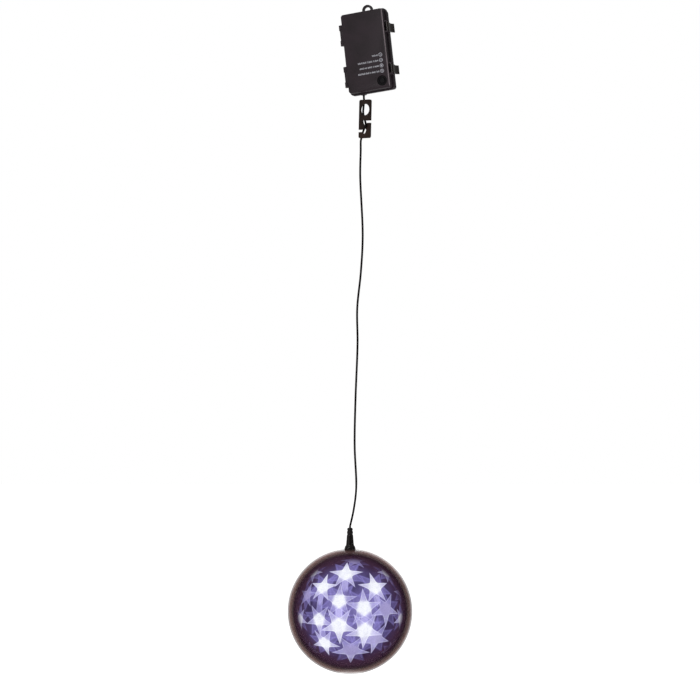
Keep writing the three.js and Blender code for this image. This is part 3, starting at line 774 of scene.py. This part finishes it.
def flat_strip(points):
    """A thin raised patch of ink on the cover's face, from outline points (x, z) in the case's frame."""
    bm = bmesh.new()
    front = [bm.verts.new(Vector((x, INK_FRONT_Y, z)) * MM) for x, z in points]
    back = [bm.verts.new(Vector((x, INK_BACK_Y, z)) * MM) for x, z in points]
    bm.faces.new(front)
    bm.faces.new(list(reversed(back)))
    for i in range(len(points)):
        j = (i + 1) % len(points)
        bm.faces.new((front[j], front[i], back[i], back[j]))
    bmesh.ops.recalc_face_normals(bm, faces=bm.faces)
    return bm


def block(x0, x1, z0, z1):
    return flat_strip([(x0, z0), (x1, z0), (x1, z1), (x0, z1)])


def dash(x0, x1, z, height):
    """A dash with rounded ends, or a dot when it is as long as it is high."""
    r = height / 2
    outline = []
    for centre, start in ((x1 - r, -90), (x0 + r, 90)):
        for a in (math.radians(start + step) for step in range(0, 181, 30)):
            outline.append((centre + r * math.cos(a), z + r * math.sin(a)))
    return flat_strip(outline)


def ring_mark(x, z, outer, inner):
    """A flat ring lying on the cover's face."""
    bm = bmesh.new()
    rings = []
    for r, y in ((outer, INK_FRONT_Y), (inner, INK_FRONT_Y), (inner, INK_BACK_Y), (outer, INK_BACK_Y)):
        circle = [Vector((x + r * math.cos(a), y, z + r * math.sin(a))) * MM for a in round_angles(36)]
        rings.append([bm.verts.new(point) for point in circle])
    bridge(bm, rings + rings[:1])
    bmesh.ops.recalc_face_normals(bm, faces=bm.faces)
    return bm


def row_mark(number, x, z):
    """The mark inside a row's ring: a dot, a bar, a block or a wedge."""
    if number == 1:
        return dash(x - 0.55, x + 0.55, z, 1.1)
    if number == 2:
        return dash(x - 1.1, x + 1.1, z, 0.7)
    if number == 3:
        return block(x - 0.9, x + 0.9, z - 0.9, z + 0.9)
    return flat_strip([(x - 1.0, z - 0.8), (x + 1.0, z - 0.8), (x, z + 1.0)])


ROWS = [
    # height of the row, ends of the runs of ticks from right to left
    (-7.8, [(15.2, 12.4), (11.6, 8.2)]),
    (-14.4, [(15.2, 10.6), (9.8, 8.4), (7.6, 3.0), (2.2, 0.8), (0.0, -4.4), (-5.2, -11.0)]),
    (-21.0, [(15.2, 9.4), (8.6, 7.2), (6.4, 0.6), (-0.2, -3.0), (-3.8, -9.8)]),
    (-27.5, [(15.2, 11.0), (10.2, 5.2), (4.4, 3.2), (2.4, -2.2), (-3.0, -6.4), (-7.2, -11.6)]),
]
MARK_X = 18.6
MARK_R, MARK_INNER_R = 2.25, 1.65
TICK_STEP = 0.95
TICK_HALF = 0.3
for number, (z, runs) in enumerate(ROWS, 1):
    parts = [ring_mark(MARK_X, z, MARK_R, MARK_INNER_R), row_mark(number, MARK_X, z)]
    for right, left in runs:
        for k in range(max(1, round((right - left) / TICK_STEP))):
            x = right - (k + 0.5) * TICK_STEP
            low, high = z - 1.15 + 0.25 * (k % 2), z + 1.0 - 0.3 * (k % 3)
            parts.append(block(x - TICK_HALF, x + TICK_HALF, low, high))
    row = joined(parts)
    drop_slivers(row)
    row.transform(CASE_PLACE)
    finish_piece(f"printed_row_{number}", row, INK, "cover")

# ---------------------------------------------------------------- cable and cord hook
BEHIND = 2.8  # from the hook's middle plane to the cable's middle where it passes the hook
# The cable's way through the hook's two slots, from its top, in the hook's frame.
WEAVE = [
    (-4.6, BEHIND, 24.2), (-4.9, BEHIND, 16), (-5.3, BEHIND, 8), (0.2, 0, -3), (3.4, -BEHIND, -7.8),
    (-2, 0, -13.8), (-6.4, BEHIND, -20), (-8, BEHIND, -25.5),
]
# x and z of the bends in the cable's long stretch, from the hook down to the boot.
KINKS = [
    (12.9, 630), (12.3, 600), (15.3, 528), (13.1, 484), (8.7, 440), (9.1, 398), (6.6, 330), (5.6, 275),
    (7.5, 224), (4.5, 198),
]
CABLE_SIDES = 20
CABLE_TOP = Vector((16.7, 0, 698.2))
BOOT_MOUTH = Vector((0, 0, 177.35))
weave = [(HOOK_PLACE @ (Vector(p) * MM)) / MM for p in smoothed(WEAVE, 8)]


def above(point, heights):
    return [point + Vector((0, 0, z)) for z in heights]


def cable_piece(name, points, body=None, stands_for=(), radius=CABLE_R):
    bm = tube(points, radius, CABLE_SIDES)
    return finish_piece(name, bm, CABLE_SHEATH, body, stands_for)


def blend_between(piece, first, second, start, end):
    """Bakes the piece's placement into its mesh; the bodies and the two points it is given are not used."""
    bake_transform(piece)


# Just under the grommet a short straight piece of cable runs between the case and the hanging stretch.
neck = above(CABLE_TOP, (2.4, 1.2, 0, -1.0, -2.0, -2.75, -3.5, -4.5))
blend_between(cable_piece("cable_neck", neck), "case", "cable", *above(CABLE_TOP, (-1.2, -3.4)))

upper = smoothed([neck[-2], neck[-1], (neck[-1] + weave[0]) / 2, weave[0], weave[1]], 4)
upper_run = cable_piece("cable_run_upper", upper, None, ("cable_upper",))
blend_between(upper_run, "cable", "hook", neck[-1], weave[0])

cable_piece("cable_woven", weave, "hook", ("cable_weave",))

# The first span only sets the direction in which the cable leaves the hook, so it is dropped.
SPAN_STEPS = 10
LOWER_STILL = Vector((12.5, 0, 545))  # a point on the lower run, passed to blend_between
way = [Vector((x, 0, z)) for x, z in KINKS]
way[0].y = weave[-1].y / 2
lower = smoothed([weave[-4], weave[-1], *way, BOOT_MOUTH], SPAN_STEPS)[SPAN_STEPS:]
lower_run = cable_piece("cable_run_lower", lower, None, ("cable_lower",))
blend_between(lower_run, "cable", "hook", LOWER_STILL, weave[-1])

# The last stretch bends where the cable enters the boot. It is a hair thicker than the run inside it.
root_dir = (lower[-3] - BOOT_MOUTH).normalized()
root = [BOOT_MOUTH + root_dir * z for z in (3, 2, 1.2, 0.5)] + above(BOOT_MOUTH, (0, -0.5, -1.2, -2.2, -3.5))
cable_root = cable_piece("cable_root", root, radius=CABLE_R + 0.01)
blend_between(cable_root, "cable", "boot", *above(BOOT_MOUTH, (1.4, -1.0)))

# The moulded boot, with heights counted from the top of the ball.
BOOT_LOW, BOOT_HIGH = -9.0, 25.8
BOOT_PLUG = [(0, BOOT_LOW), (2.45, BOOT_LOW), (2.6, -8.8), (2.6, -5.2)]
BOOT_BEAD = [
    (3.1, -4.8), (4.8, -4.1), (5.8, -3.0), (6.45, -1.3), (6.6, 0.3), (6.45, 1.9), (5.9, 3.4),
    (5.0, 4.6),
]
BOOT_SLEEVE = [
    (4.75, 5.6), (4.55, 7.5), (4.3, 10.5), (4.0, 14.0), (3.85, 16.2), (3.6, 17.2), (3.3, 17.8),
    (3.3, 18.4),
]
BOOT_LOBES = [
    (3.55, 19.0), (3.7, 20.2), (3.55, 21.3), (3.05, 22.0), (3.05, 22.5), (3.35, 23.1), (3.4, 24.0),
    (3.15, 25.0), (2.6, 25.6), (1.9, BOOT_HIGH), (0, BOOT_HIGH),
]
boot_curve = smoothed(BOOT_PLUG + BOOT_BEAD + BOOT_SLEEVE + BOOT_LOBES, 3)
boot_profile = [(max(p[0], 0.0), min(max(p[1], BOOT_LOW), BOOT_HIGH)) for p in boot_curve]
boot_profile[0], boot_profile[-1] = (0, BOOT_LOW), (0, BOOT_HIGH)
boot = lathe(boot_profile, 56, shift(0, 0, 2 * BALL_R))
finish_piece("boot_moulding", boot, BOOT_RUBBER, "boot", ("cable_boot",), 60)

# ---------------------------------------------------------------- ball
SHELL_SEGMENTS = 160
SHELL_STEPS = 44
NECK_R = 8.5
SEAM = 0.04  # half of the fine joint line between the two shells
ball_at = Matrix.Translation(BALL_CENTRE)


def arc(radius, low_z, high_z, steps):
    """Points (radius, height) on a circle about the ball's centre, from one height to another."""
    start, end = math.asin(low_z / radius), math.asin(high_z / radius)
    angles = [start + (end - start) * i / steps for i in range(steps + 1)]
    return [(radius * math.cos(a), radius * math.sin(a)) for a in angles]


def on_circle(radius, r):
    """The height at which a circle is r wide."""
    return math.sqrt(radius * radius - r * r)


upper_outline = [
    *arc(BALL_R, SEAM, on_circle(BALL_R, NECK_R), SHELL_STEPS),
    *arc(SHELL_INNER_R, on_circle(SHELL_INNER_R, NECK_R), SEAM, SHELL_STEPS),
]
upper_outline.append(upper_outline[0])
lower_outline = [
    *arc(BALL_R, -BALL_R, -SEAM, SHELL_STEPS),
    *arc(SHELL_INNER_R, -SEAM, -SHELL_INNER_R, SHELL_STEPS),
]
lower_outline[0], lower_outline[-1] = (0, -BALL_R), (0, -SHELL_INNER_R)
for half, outline in (("upper", upper_outline), ("lower", lower_outline)):
    shell = lathe(outline, SHELL_SEGMENTS, ball_at)
    finish_piece(f"ball_shell_{half}", shell, SMOKED_CLEAR, "ball", (f"shell_{half}",))

COLLAR = [
    (3.2, 67), (8, 67), (8.05, 74.4), (8.3, 74.7), (11.2, 74.45), (11.45, 74.55), (11.4, 74.8),
    (10.4, 75.3), (9.2, 75.75), (8.2, 75.97), (7.5, 75.9), (7.2, 75.5), (7.2, 70.8), (6.8, 70.0),
    (5.6, 68.6), (5.2, 68.4), (3.2, 68.4), (3.2, 67),
]
collar = lathe(COLLAR, 96, ball_at)
finish_piece("collar_ring", collar, SMOKED_CLEAR, "ball", ("neck_collar",))

HUB_R = 13.0
LAMP_LIFT = 13.3
hub_angles = [math.radians(-90 + 6 * i) for i in range(31)]
hub_outline = [(HUB_R * math.cos(a), HUB_R * math.sin(a)) for a in hub_angles]
hub_outline[0], hub_outline[-1] = (0, -HUB_R), (0, HUB_R)
hub = lathe(hub_outline, 60, ball_at)
finish_piece("hub_core", hub, WHITE_PLASTIC, "ball", ("lamp_hub",))

# Twelve lamps point to the corners of an icosahedron.
golden = (1 + math.sqrt(5)) / 2
directions = []
for a in (1, -1):
    for b in (golden, -golden):
        directions += [Vector((0, a, b)), Vector((a, b, 0)), Vector((b, 0, a))]
LAMP = [
    (0, 0), (2.9, 0), (2.9, 0.9), (2.75, 1.05), (2.5, 1.1), (2.5, 5.5), (2.42, 6.1), (2.2, 6.8),
    (1.8, 7.35), (1.2, 7.75), (0.6, 7.95), (0, 8),
]
lift = shift(0, 0, LAMP_LIFT)
for number, direction in enumerate(directions, 1):
    turn = direction.to_track_quat("Z", "Y").to_matrix().to_4x4()
    lamp = lathe(LAMP, 32, ball_at @ turn @ lift)
    finish_piece(f"lamp_lens_{number:02d}", lamp, LENS, "ball", (f"led_{number:02d}",), 40)


# ---------------------------------------------------------------- stars
def from_centre(lat, lon):
    """The direction from the ball's centre at a latitude and a longitude in degrees. Longitude 0 faces -Y."""
    lat, lon = math.radians(lat), math.radians(lon)
    return Vector((math.cos(lat) * math.sin(lon), -math.cos(lat) * math.cos(lon), math.sin(lat)))


WHITE = Vector((0.92, 0.94, 1.0))
PALE = Vector((0.64, 0.60, 1.0))
LAVENDER = Vector((0.31, 0.27, 0.70))
DIM = Vector((0.13, 0.10, 0.36))
DIM_CORE = Vector((0.46, 0.41, 0.74))

# latitude, longitude, points down, tip radius, brightness of the core, brightness of the arms
STARS = [
    (45, -6, False, 21.5, 1.0, 0.8),
    (29, -32, False, 19.0, 1.0, 0.85),
    (29, 29, False, 21.0, 0.92, 0.75),
    (16, -11, False, 22.5, 0.95, 0.3),
    (9, 14, False, 24.0, 0.97, 0.35),
    (-3, -32, True, 20.5, 0.7, 0.4),
    (-8, -11, True, 24.0, 1.0, 0.7),
    (-13, 15, True, 24.5, 0.8, 0.6),
    (-27, -29, True, 19.5, 0.85, 0.65),
    (-35, 1, True, 24.5, 0.3, 0.3),
    (-22, 28, True, 22.5, 0.35, 0.3),
    (7, 38, True, 22.0, 0.3, 0.3),
    (66, 10, False, 17.0, 0.15, 0.1),
    (20, -51, False, 16.0, 0.25, 0.15),
    (44, 60, False, 15.0, 0.6, 0.4),
    (-4, 61, True, 15.0, 0.6, 0.4),
    (-38, 60, True, 15.0, 0.55, 0.35),
]
TURNS = (0, 120, 240)
POINTS = 5
SECTOR = math.pi / POINTS
SUB = 7  # steps along half of a star's arm
INNER_SHARE = 0.39  # a star's inner radius against its tip radius
HOLLOW = 0.08
RINGS = (0.0, 0.12, 0.2, 0.26, 0.31, 0.36, 0.42, 0.5, 0.6, 0.7, 0.79, 0.85, 0.9, 0.94, 0.97, 1.0)


def from_tip(angle):
    """The angle between a direction and the nearest tip."""
    return abs(((angle + SECTOR) % (2 * SECTOR)) - SECTOR)


def star_edge(angle, tip, inner):
    """How far a five-pointed star reaches at an angle from a tip, with slightly hollow arms."""
    a = from_tip(angle)
    bx, by = inner * math.cos(SECTOR), inner * math.sin(SECTOR)
    cross = (bx - tip) * math.sin(a) - by * math.cos(a)
    reach = by * tip / cross if abs(cross) > 1e-9 else tip
    return abs(reach) * (1 - HOLLOW * math.sin(math.pi * min(1.0, a / SECTOR)))


def on_ball(centre, radius, spin, reach):
    """A point on a sphere about the ball's centre, reach away from centre in the direction spin."""
    north = (Vector((0, 0, 1)) - centre * centre.z).normalized()
    east = north.cross(centre)
    bend = reach / radius
    direction = north * math.cos(spin) + east * math.sin(spin)
    return BALL_CENTRE + (centre * math.cos(bend) + direction * math.sin(bend)) * radius * MM


def star_fan(bm, layer, centre, radius, tip, inner_share, turn, shade):
    """Adds a star lying on a sphere.

    shade(u, share, angle) gives a point's colour and opacity. u goes from 0 at the middle to 1 at the
    outline, share is the distance from the middle against the tip's, and angle is counted from a tip.
    """
    count = POINTS * 2 * SUB
    rings = []
    for u in RINGS:
        ring = []
        for k in range(1 if u == 0 else count):
            angle = 2 * math.pi * k / count
            reach = u * star_edge(angle, tip, tip * inner_share)
            vert = bm.verts.new(on_ball(centre, radius, angle + turn, reach))
            vert[layer] = shade(u, reach / tip, angle)
            ring.append(vert)
        rings.append(ring)
    for low, high in zip(rings, rings[1:]):
        for k in range(count):
            j = (k + 1) % count
            if len(low) == 1:
                bm.faces.new((low[0], high[k], high[j]))
            else:
                bm.faces.new((low[k], high[k], high[j], low[j]))


def held(value):
    return min(1.0, max(0.0, value))


def blend_colour(a, b, t):
    t = held(t)
    t = t * t * (3 - 2 * t)
    return a * (1 - t) + b * t


def star_shade(power, arms):
    """A bright star has a white five-sided core. Its arms are clearer than the core, with bright outlines."""
    bright = held((power - 0.25) / 0.45)

    def shade(u, share, angle):
        edge = 1 - held((u - 0.95) / 0.05)
        line = held(1 - abs(u - 0.9) / 0.07)
        pentagon = share * math.cos(from_tip(angle)) / (INNER_SHARE * math.cos(SECTOR))
        core = held((1.25 - pentagon) / 0.4)
        outward = held((share - 0.35) / 0.65)
        white = arms * (0.5 + 0.6 * (0.5 + 0.5 * math.cos(angle)))
        arm = blend_colour(LAVENDER, PALE, 0.2 + white + 0.35 * line)
        arm = blend_colour(arm, WHITE, white * (1.1 - outward) + 0.3 * line)
        colour = blend_colour(arm, blend_colour(DIM_CORE, WHITE, bright), core)
        core_cover = 0.62 + 0.35 * bright
        arm_cover = 0.4 + 0.5 * white + 0.2 * line - 0.1 * outward
        return (*colour, held(min(0.97, arm_cover + (core_cover - arm_cover) * core) * edge))

    return shade


def haze_shade(power):
    """A faint, large and turned copy of a star, which the film throws behind the bright one."""

    def shade(u, share, angle):
        edge = 1 - held((u - 0.88) / 0.12)
        line = held(1 - abs(u - 0.82) / 0.14)
        cover = (0.2 + 0.22 * power) * (0.85 + 0.4 * line) * edge
        return (*blend_colour(DIM, LAVENDER, 0.6 + 0.4 * line), cover)

    return shade


def glow_shade(power):
    """The soft glow round a bright star."""

    def shade(u, share, angle):
        return (*PALE, 0.55 * power * power * held(1 - u) ** 2)

    return shade


BEAM_STEPS = 10
BEAM_LINE = 0.86
BEAM_ACROSS = (-1.0, -BEAM_LINE, -0.7, 0.0, 0.7, BEAM_LINE, 1.0)


def beam(bm, layer, centre, radius, length, width, turn, power):
    """Adds the pale band that runs from a star's core, away from its pointing arm."""
    rows = []
    for i in range(BEAM_STEPS + 1):
        share = i / BEAM_STEPS
        run = length * (0.15 + 0.85 * share)
        row = []
        for t in BEAM_ACROSS:
            side = t * width * (0.85 + 0.3 * share)
            spin = math.atan2(side, run) + turn
            vert = bm.verts.new(on_ball(centre, radius, spin, math.hypot(run, side)))
            fade = held((1 - share) / 0.25) * (0.0 if abs(t) == 1 else 1.0)
            line = 1.0 if abs(t) == BEAM_LINE else 0.0
            colour = blend_colour(LAVENDER, PALE, 1.1 * power - 0.3 + 0.3 * line)
            vert[layer] = (*colour, (0.62 * power - 0.1 + 0.12 * line) * fade)
            row.append(vert)
        rows.append(row)
    for low, high in zip(rows, rows[1:]):
        for k in range(len(BEAM_ACROSS) - 1):
            bm.faces.new((low[k], high[k], high[k + 1], low[k + 1]))


star_list = [(lat, lon + turn, *rest) for turn in TURNS for lat, lon, *rest in STARS]
dimmest_first = sorted(star_list, key=lambda star: (star[4], star[1]))
LAYER_GAP = 0.004  # between two overlapping stars, so that no two surfaces coincide
LAYER_DEPTH = len(star_list) * LAYER_GAP


def light_layer(name, order, add_star):
    """One piece of light shapes, each a hair above the last. order counts from the film outwards."""
    bm = bmesh.new()
    layer = bm.verts.layers.float_color.new("glow")
    first_radius = FILM_R + (0.03 + 0.01 * order) + order * LAYER_DEPTH
    for index, (lat, lon, down, tip, power, arms) in enumerate(dimmest_first):
        spot = (bm, layer, from_centre(lat, lon), first_radius + index * LAYER_GAP)
        add_star(spot, tip, math.pi if down else 0.0, power, arms)
    finish_piece(name, bm, STARLIGHT, "ball", (), 180)


def add_haze(spot, tip, turn, power, arms):
    star_fan(*spot, tip * 1.28, 0.5, turn + math.pi, haze_shade(power))


def add_glow(spot, tip, turn, power, arms):
    star_fan(*spot, tip * 0.95, 0.95, turn, glow_shade(power))


def add_beam(spot, tip, turn, power, arms):
    beam(*spot, tip * 1.15, tip * 0.19, turn + math.pi, power)


def add_light(spot, tip, turn, power, arms):
    star_fan(*spot, tip * 1.04, INNER_SHARE, turn, star_shade(power, arms))


for order, (name, add_star) in enumerate(
    (("star_haze", add_haze), ("star_glow", add_glow), ("star_beams", add_beam), ("star_light", add_light))
):
    light_layer(name, order, add_star)

FILM_INNER_R = FILM_R - 0.6
FILM_SEAM = 0.3  # half of the gap between the two domes
FILM_STEPS = 48
FILM_SEGMENTS = 192
# Colours of the lamps' light painted on the film, near the bright stars and far from them.
GLOW_NEAR, GLOW_FAR = Vector((0.2, 0.17, 0.44)), Vector((0.021, 0.009, 0.036))
GLOW_SPREAD = 15.0  # degrees
star_axes = np.array([from_centre(lat, lon)[:] for lat, lon, *_ in star_list])
star_powers = np.array([power for *_, power, _ in star_list])


def film_dome(half, hole, sign):
    """Half of the film. The lamps' glow painted into its colours is strongest among the bright stars."""
    outline = [
        *arc(FILM_R, FILM_SEAM, on_circle(FILM_R, hole), FILM_STEPS),
        *arc(FILM_INNER_R, on_circle(FILM_INNER_R, hole), FILM_SEAM, FILM_STEPS),
    ]
    outline.append(outline[0])
    bm = lathe([(r, sign * z) for r, z in outline], FILM_SEGMENTS, ball_at)
    layer = bm.verts.layers.float_color.new("glow")
    for vert in bm.verts:
        direction = np.array((vert.co - BALL_CENTRE).normalized())
        angle = np.degrees(np.arccos(np.clip(star_axes @ direction, -1, 1)))
        total = float((star_powers**2 * np.exp(-((angle / GLOW_SPREAD) ** 2))).sum())
        share = 1 - math.exp(-1.1 * total)
        vert[layer] = (*(GLOW_FAR * (1 - share) + GLOW_NEAR * share), 1.0)
    finish_piece(f"film_dome_{half}", bm, FILM_FOIL, "ball", (f"film_{half}",), 60)


film_dome("upper", 9.5, 1)
film_dome("lower", 3.0, -1)

# ---------------------------------------------------------------- studio
# The camera sees plain white. The light comes from a soft room, brighter behind and above, dimmer at right.
world = bpy.data.worlds.new("studio")
bpy.context.scene.world = world
world.use_nodes = True
room = world.node_tree
room.nodes.clear()
room_out = room.nodes.new("ShaderNodeOutputWorld")
room_path = room.nodes.new("ShaderNodeLightPath")
room_place = room.nodes.new("ShaderNodeTexCoord")
room_axes = room.nodes.new("ShaderNodeSeparateXYZ")
room.links.new(room_place.outputs["Generated"], room_axes.inputs[0])


def room_ramp(axis, *values):
    """Brightness along an axis: where the change starts and ends, and the brightness there."""
    node = room.nodes.new("ShaderNodeMapRange")
    room.links.new(room_axes.outputs[axis], node.inputs["Value"])
    for key, value in zip(RAMP_SOCKETS, values):
        node.inputs[key].default_value = value
    return node.outputs[0]


def room_sum(first, second):
    node = room.nodes.new("ShaderNodeMath")
    node.operation = "ADD"
    room.links.new(first, node.inputs[0])
    room.links.new(second, node.inputs[1])
    return node.outputs[0]


behind_and_above = room_sum(room_ramp(1, -0.6, 0.7, 0.24, 0.45), room_ramp(2, 0.2, 0.9, 0.0, 0.25))
brightness = room_sum(behind_and_above, room_ramp(0, -0.1, 0.6, 0.0, -0.2))
room_soft = room.nodes.new("ShaderNodeBackground")
room.links.new(brightness, room_soft.inputs["Strength"])
room_plain = room.nodes.new("ShaderNodeBackground")
room_plain.inputs["Color"].default_value = (1, 1, 1, 1)
room_mix = room.nodes.new("ShaderNodeMixShader")
room.links.new(room_path.outputs["Is Camera Ray"], room_mix.inputs[0])
room.links.new(room_soft.outputs[0], room_mix.inputs[1])
room.links.new(room_plain.outputs[0], room_mix.inputs[2])
room.links.new(room_mix.outputs[0], room_out.inputs["Surface"])


def soft_light(name, at, towards, size, power):
    data = bpy.data.lights.new(name, "AREA")
    data.shape = "RECTANGLE"
    data.size, data.size_y = size
    data.energy = power
    lamp = new_object(name, data)
    lamp.location = at
    lamp.rotation_euler = (Vector(towards) - Vector(at)).to_track_quat("-Z", "Y").to_euler()


soft_light("key", (-0.9, -2.1, 1.8), (0, 0, 0.6), (0.9, 0.9), 12)
soft_light("fill", (-1.7, -1.8, 0.9), (0, 0, 0.6), (1.3, 1.5), 6)
soft_light("strip", (1.6, -1.4, 0.95), (0, 0, 0.7), (0.12, 1.5), 1.5)
soft_light("top", (0, 0.3, 2.1), (0, 0, 0.1), (1.4, 1.4), 7)

FLOOR_Z = -0.26
FLOOR_HALF = 9
floor_corners = [(x * FLOOR_HALF, y * FLOOR_HALF, FLOOR_Z) for x, y in ((-1, -1), (1, -1), (1, 1), (-1, 1))]
floor_mesh = bpy.data.meshes.new("floor")
floor_bm = bmesh.new()
floor_bm.faces.new([floor_bm.verts.new(corner) for corner in floor_corners])
floor_bm.to_mesh(floor_mesh)
floor_bm.free()
floor = new_object("floor", floor_mesh)
floor_look = Look("floor_paper")
fibre = floor_look.noise(60, 4)
seen = floor_look.add("ShaderNodeLightPath").outputs["Is Camera Ray"]
floor_look.bump(fibre, 0.05, 0.3)
floor_look.set(
    Base_Color=floor_look.mix(fibre, (0.88, 0.88, 0.88), (0.92, 0.92, 0.92)),
    Roughness=0.8,
    Specular_IOR_Level=0.1,
    Emission_Color=(1, 1, 1),
    Emission_Strength=floor_look.ramp(seen, 0, 1, 0.2, 0.8),
)
floor_mesh.materials.append(floor_look.material)

CAMERA_AT = (0, -3.0, 0.390)
CAMERA_LENS_MM = 128.04
SENSOR_MM = 36
camera_data = bpy.data.cameras.new("camera")
camera_data.sensor_width = SENSOR_MM
camera_data.lens = CAMERA_LENS_MM
camera_data.clip_end = 50
camera = new_object("camera", camera_data)
camera.location = CAMERA_AT
camera.rotation_euler = (math.radians(90), 0, 0)
bpy.context.scene.camera = camera

SEE_THROUGH = 48  # clear and half-clear layers that a ray may pass
scene = bpy.context.scene
scene.view_settings.view_transform = "Standard"
scene.view_settings.look = "None"
scene.cycles.transparent_max_bounces = SEE_THROUGH
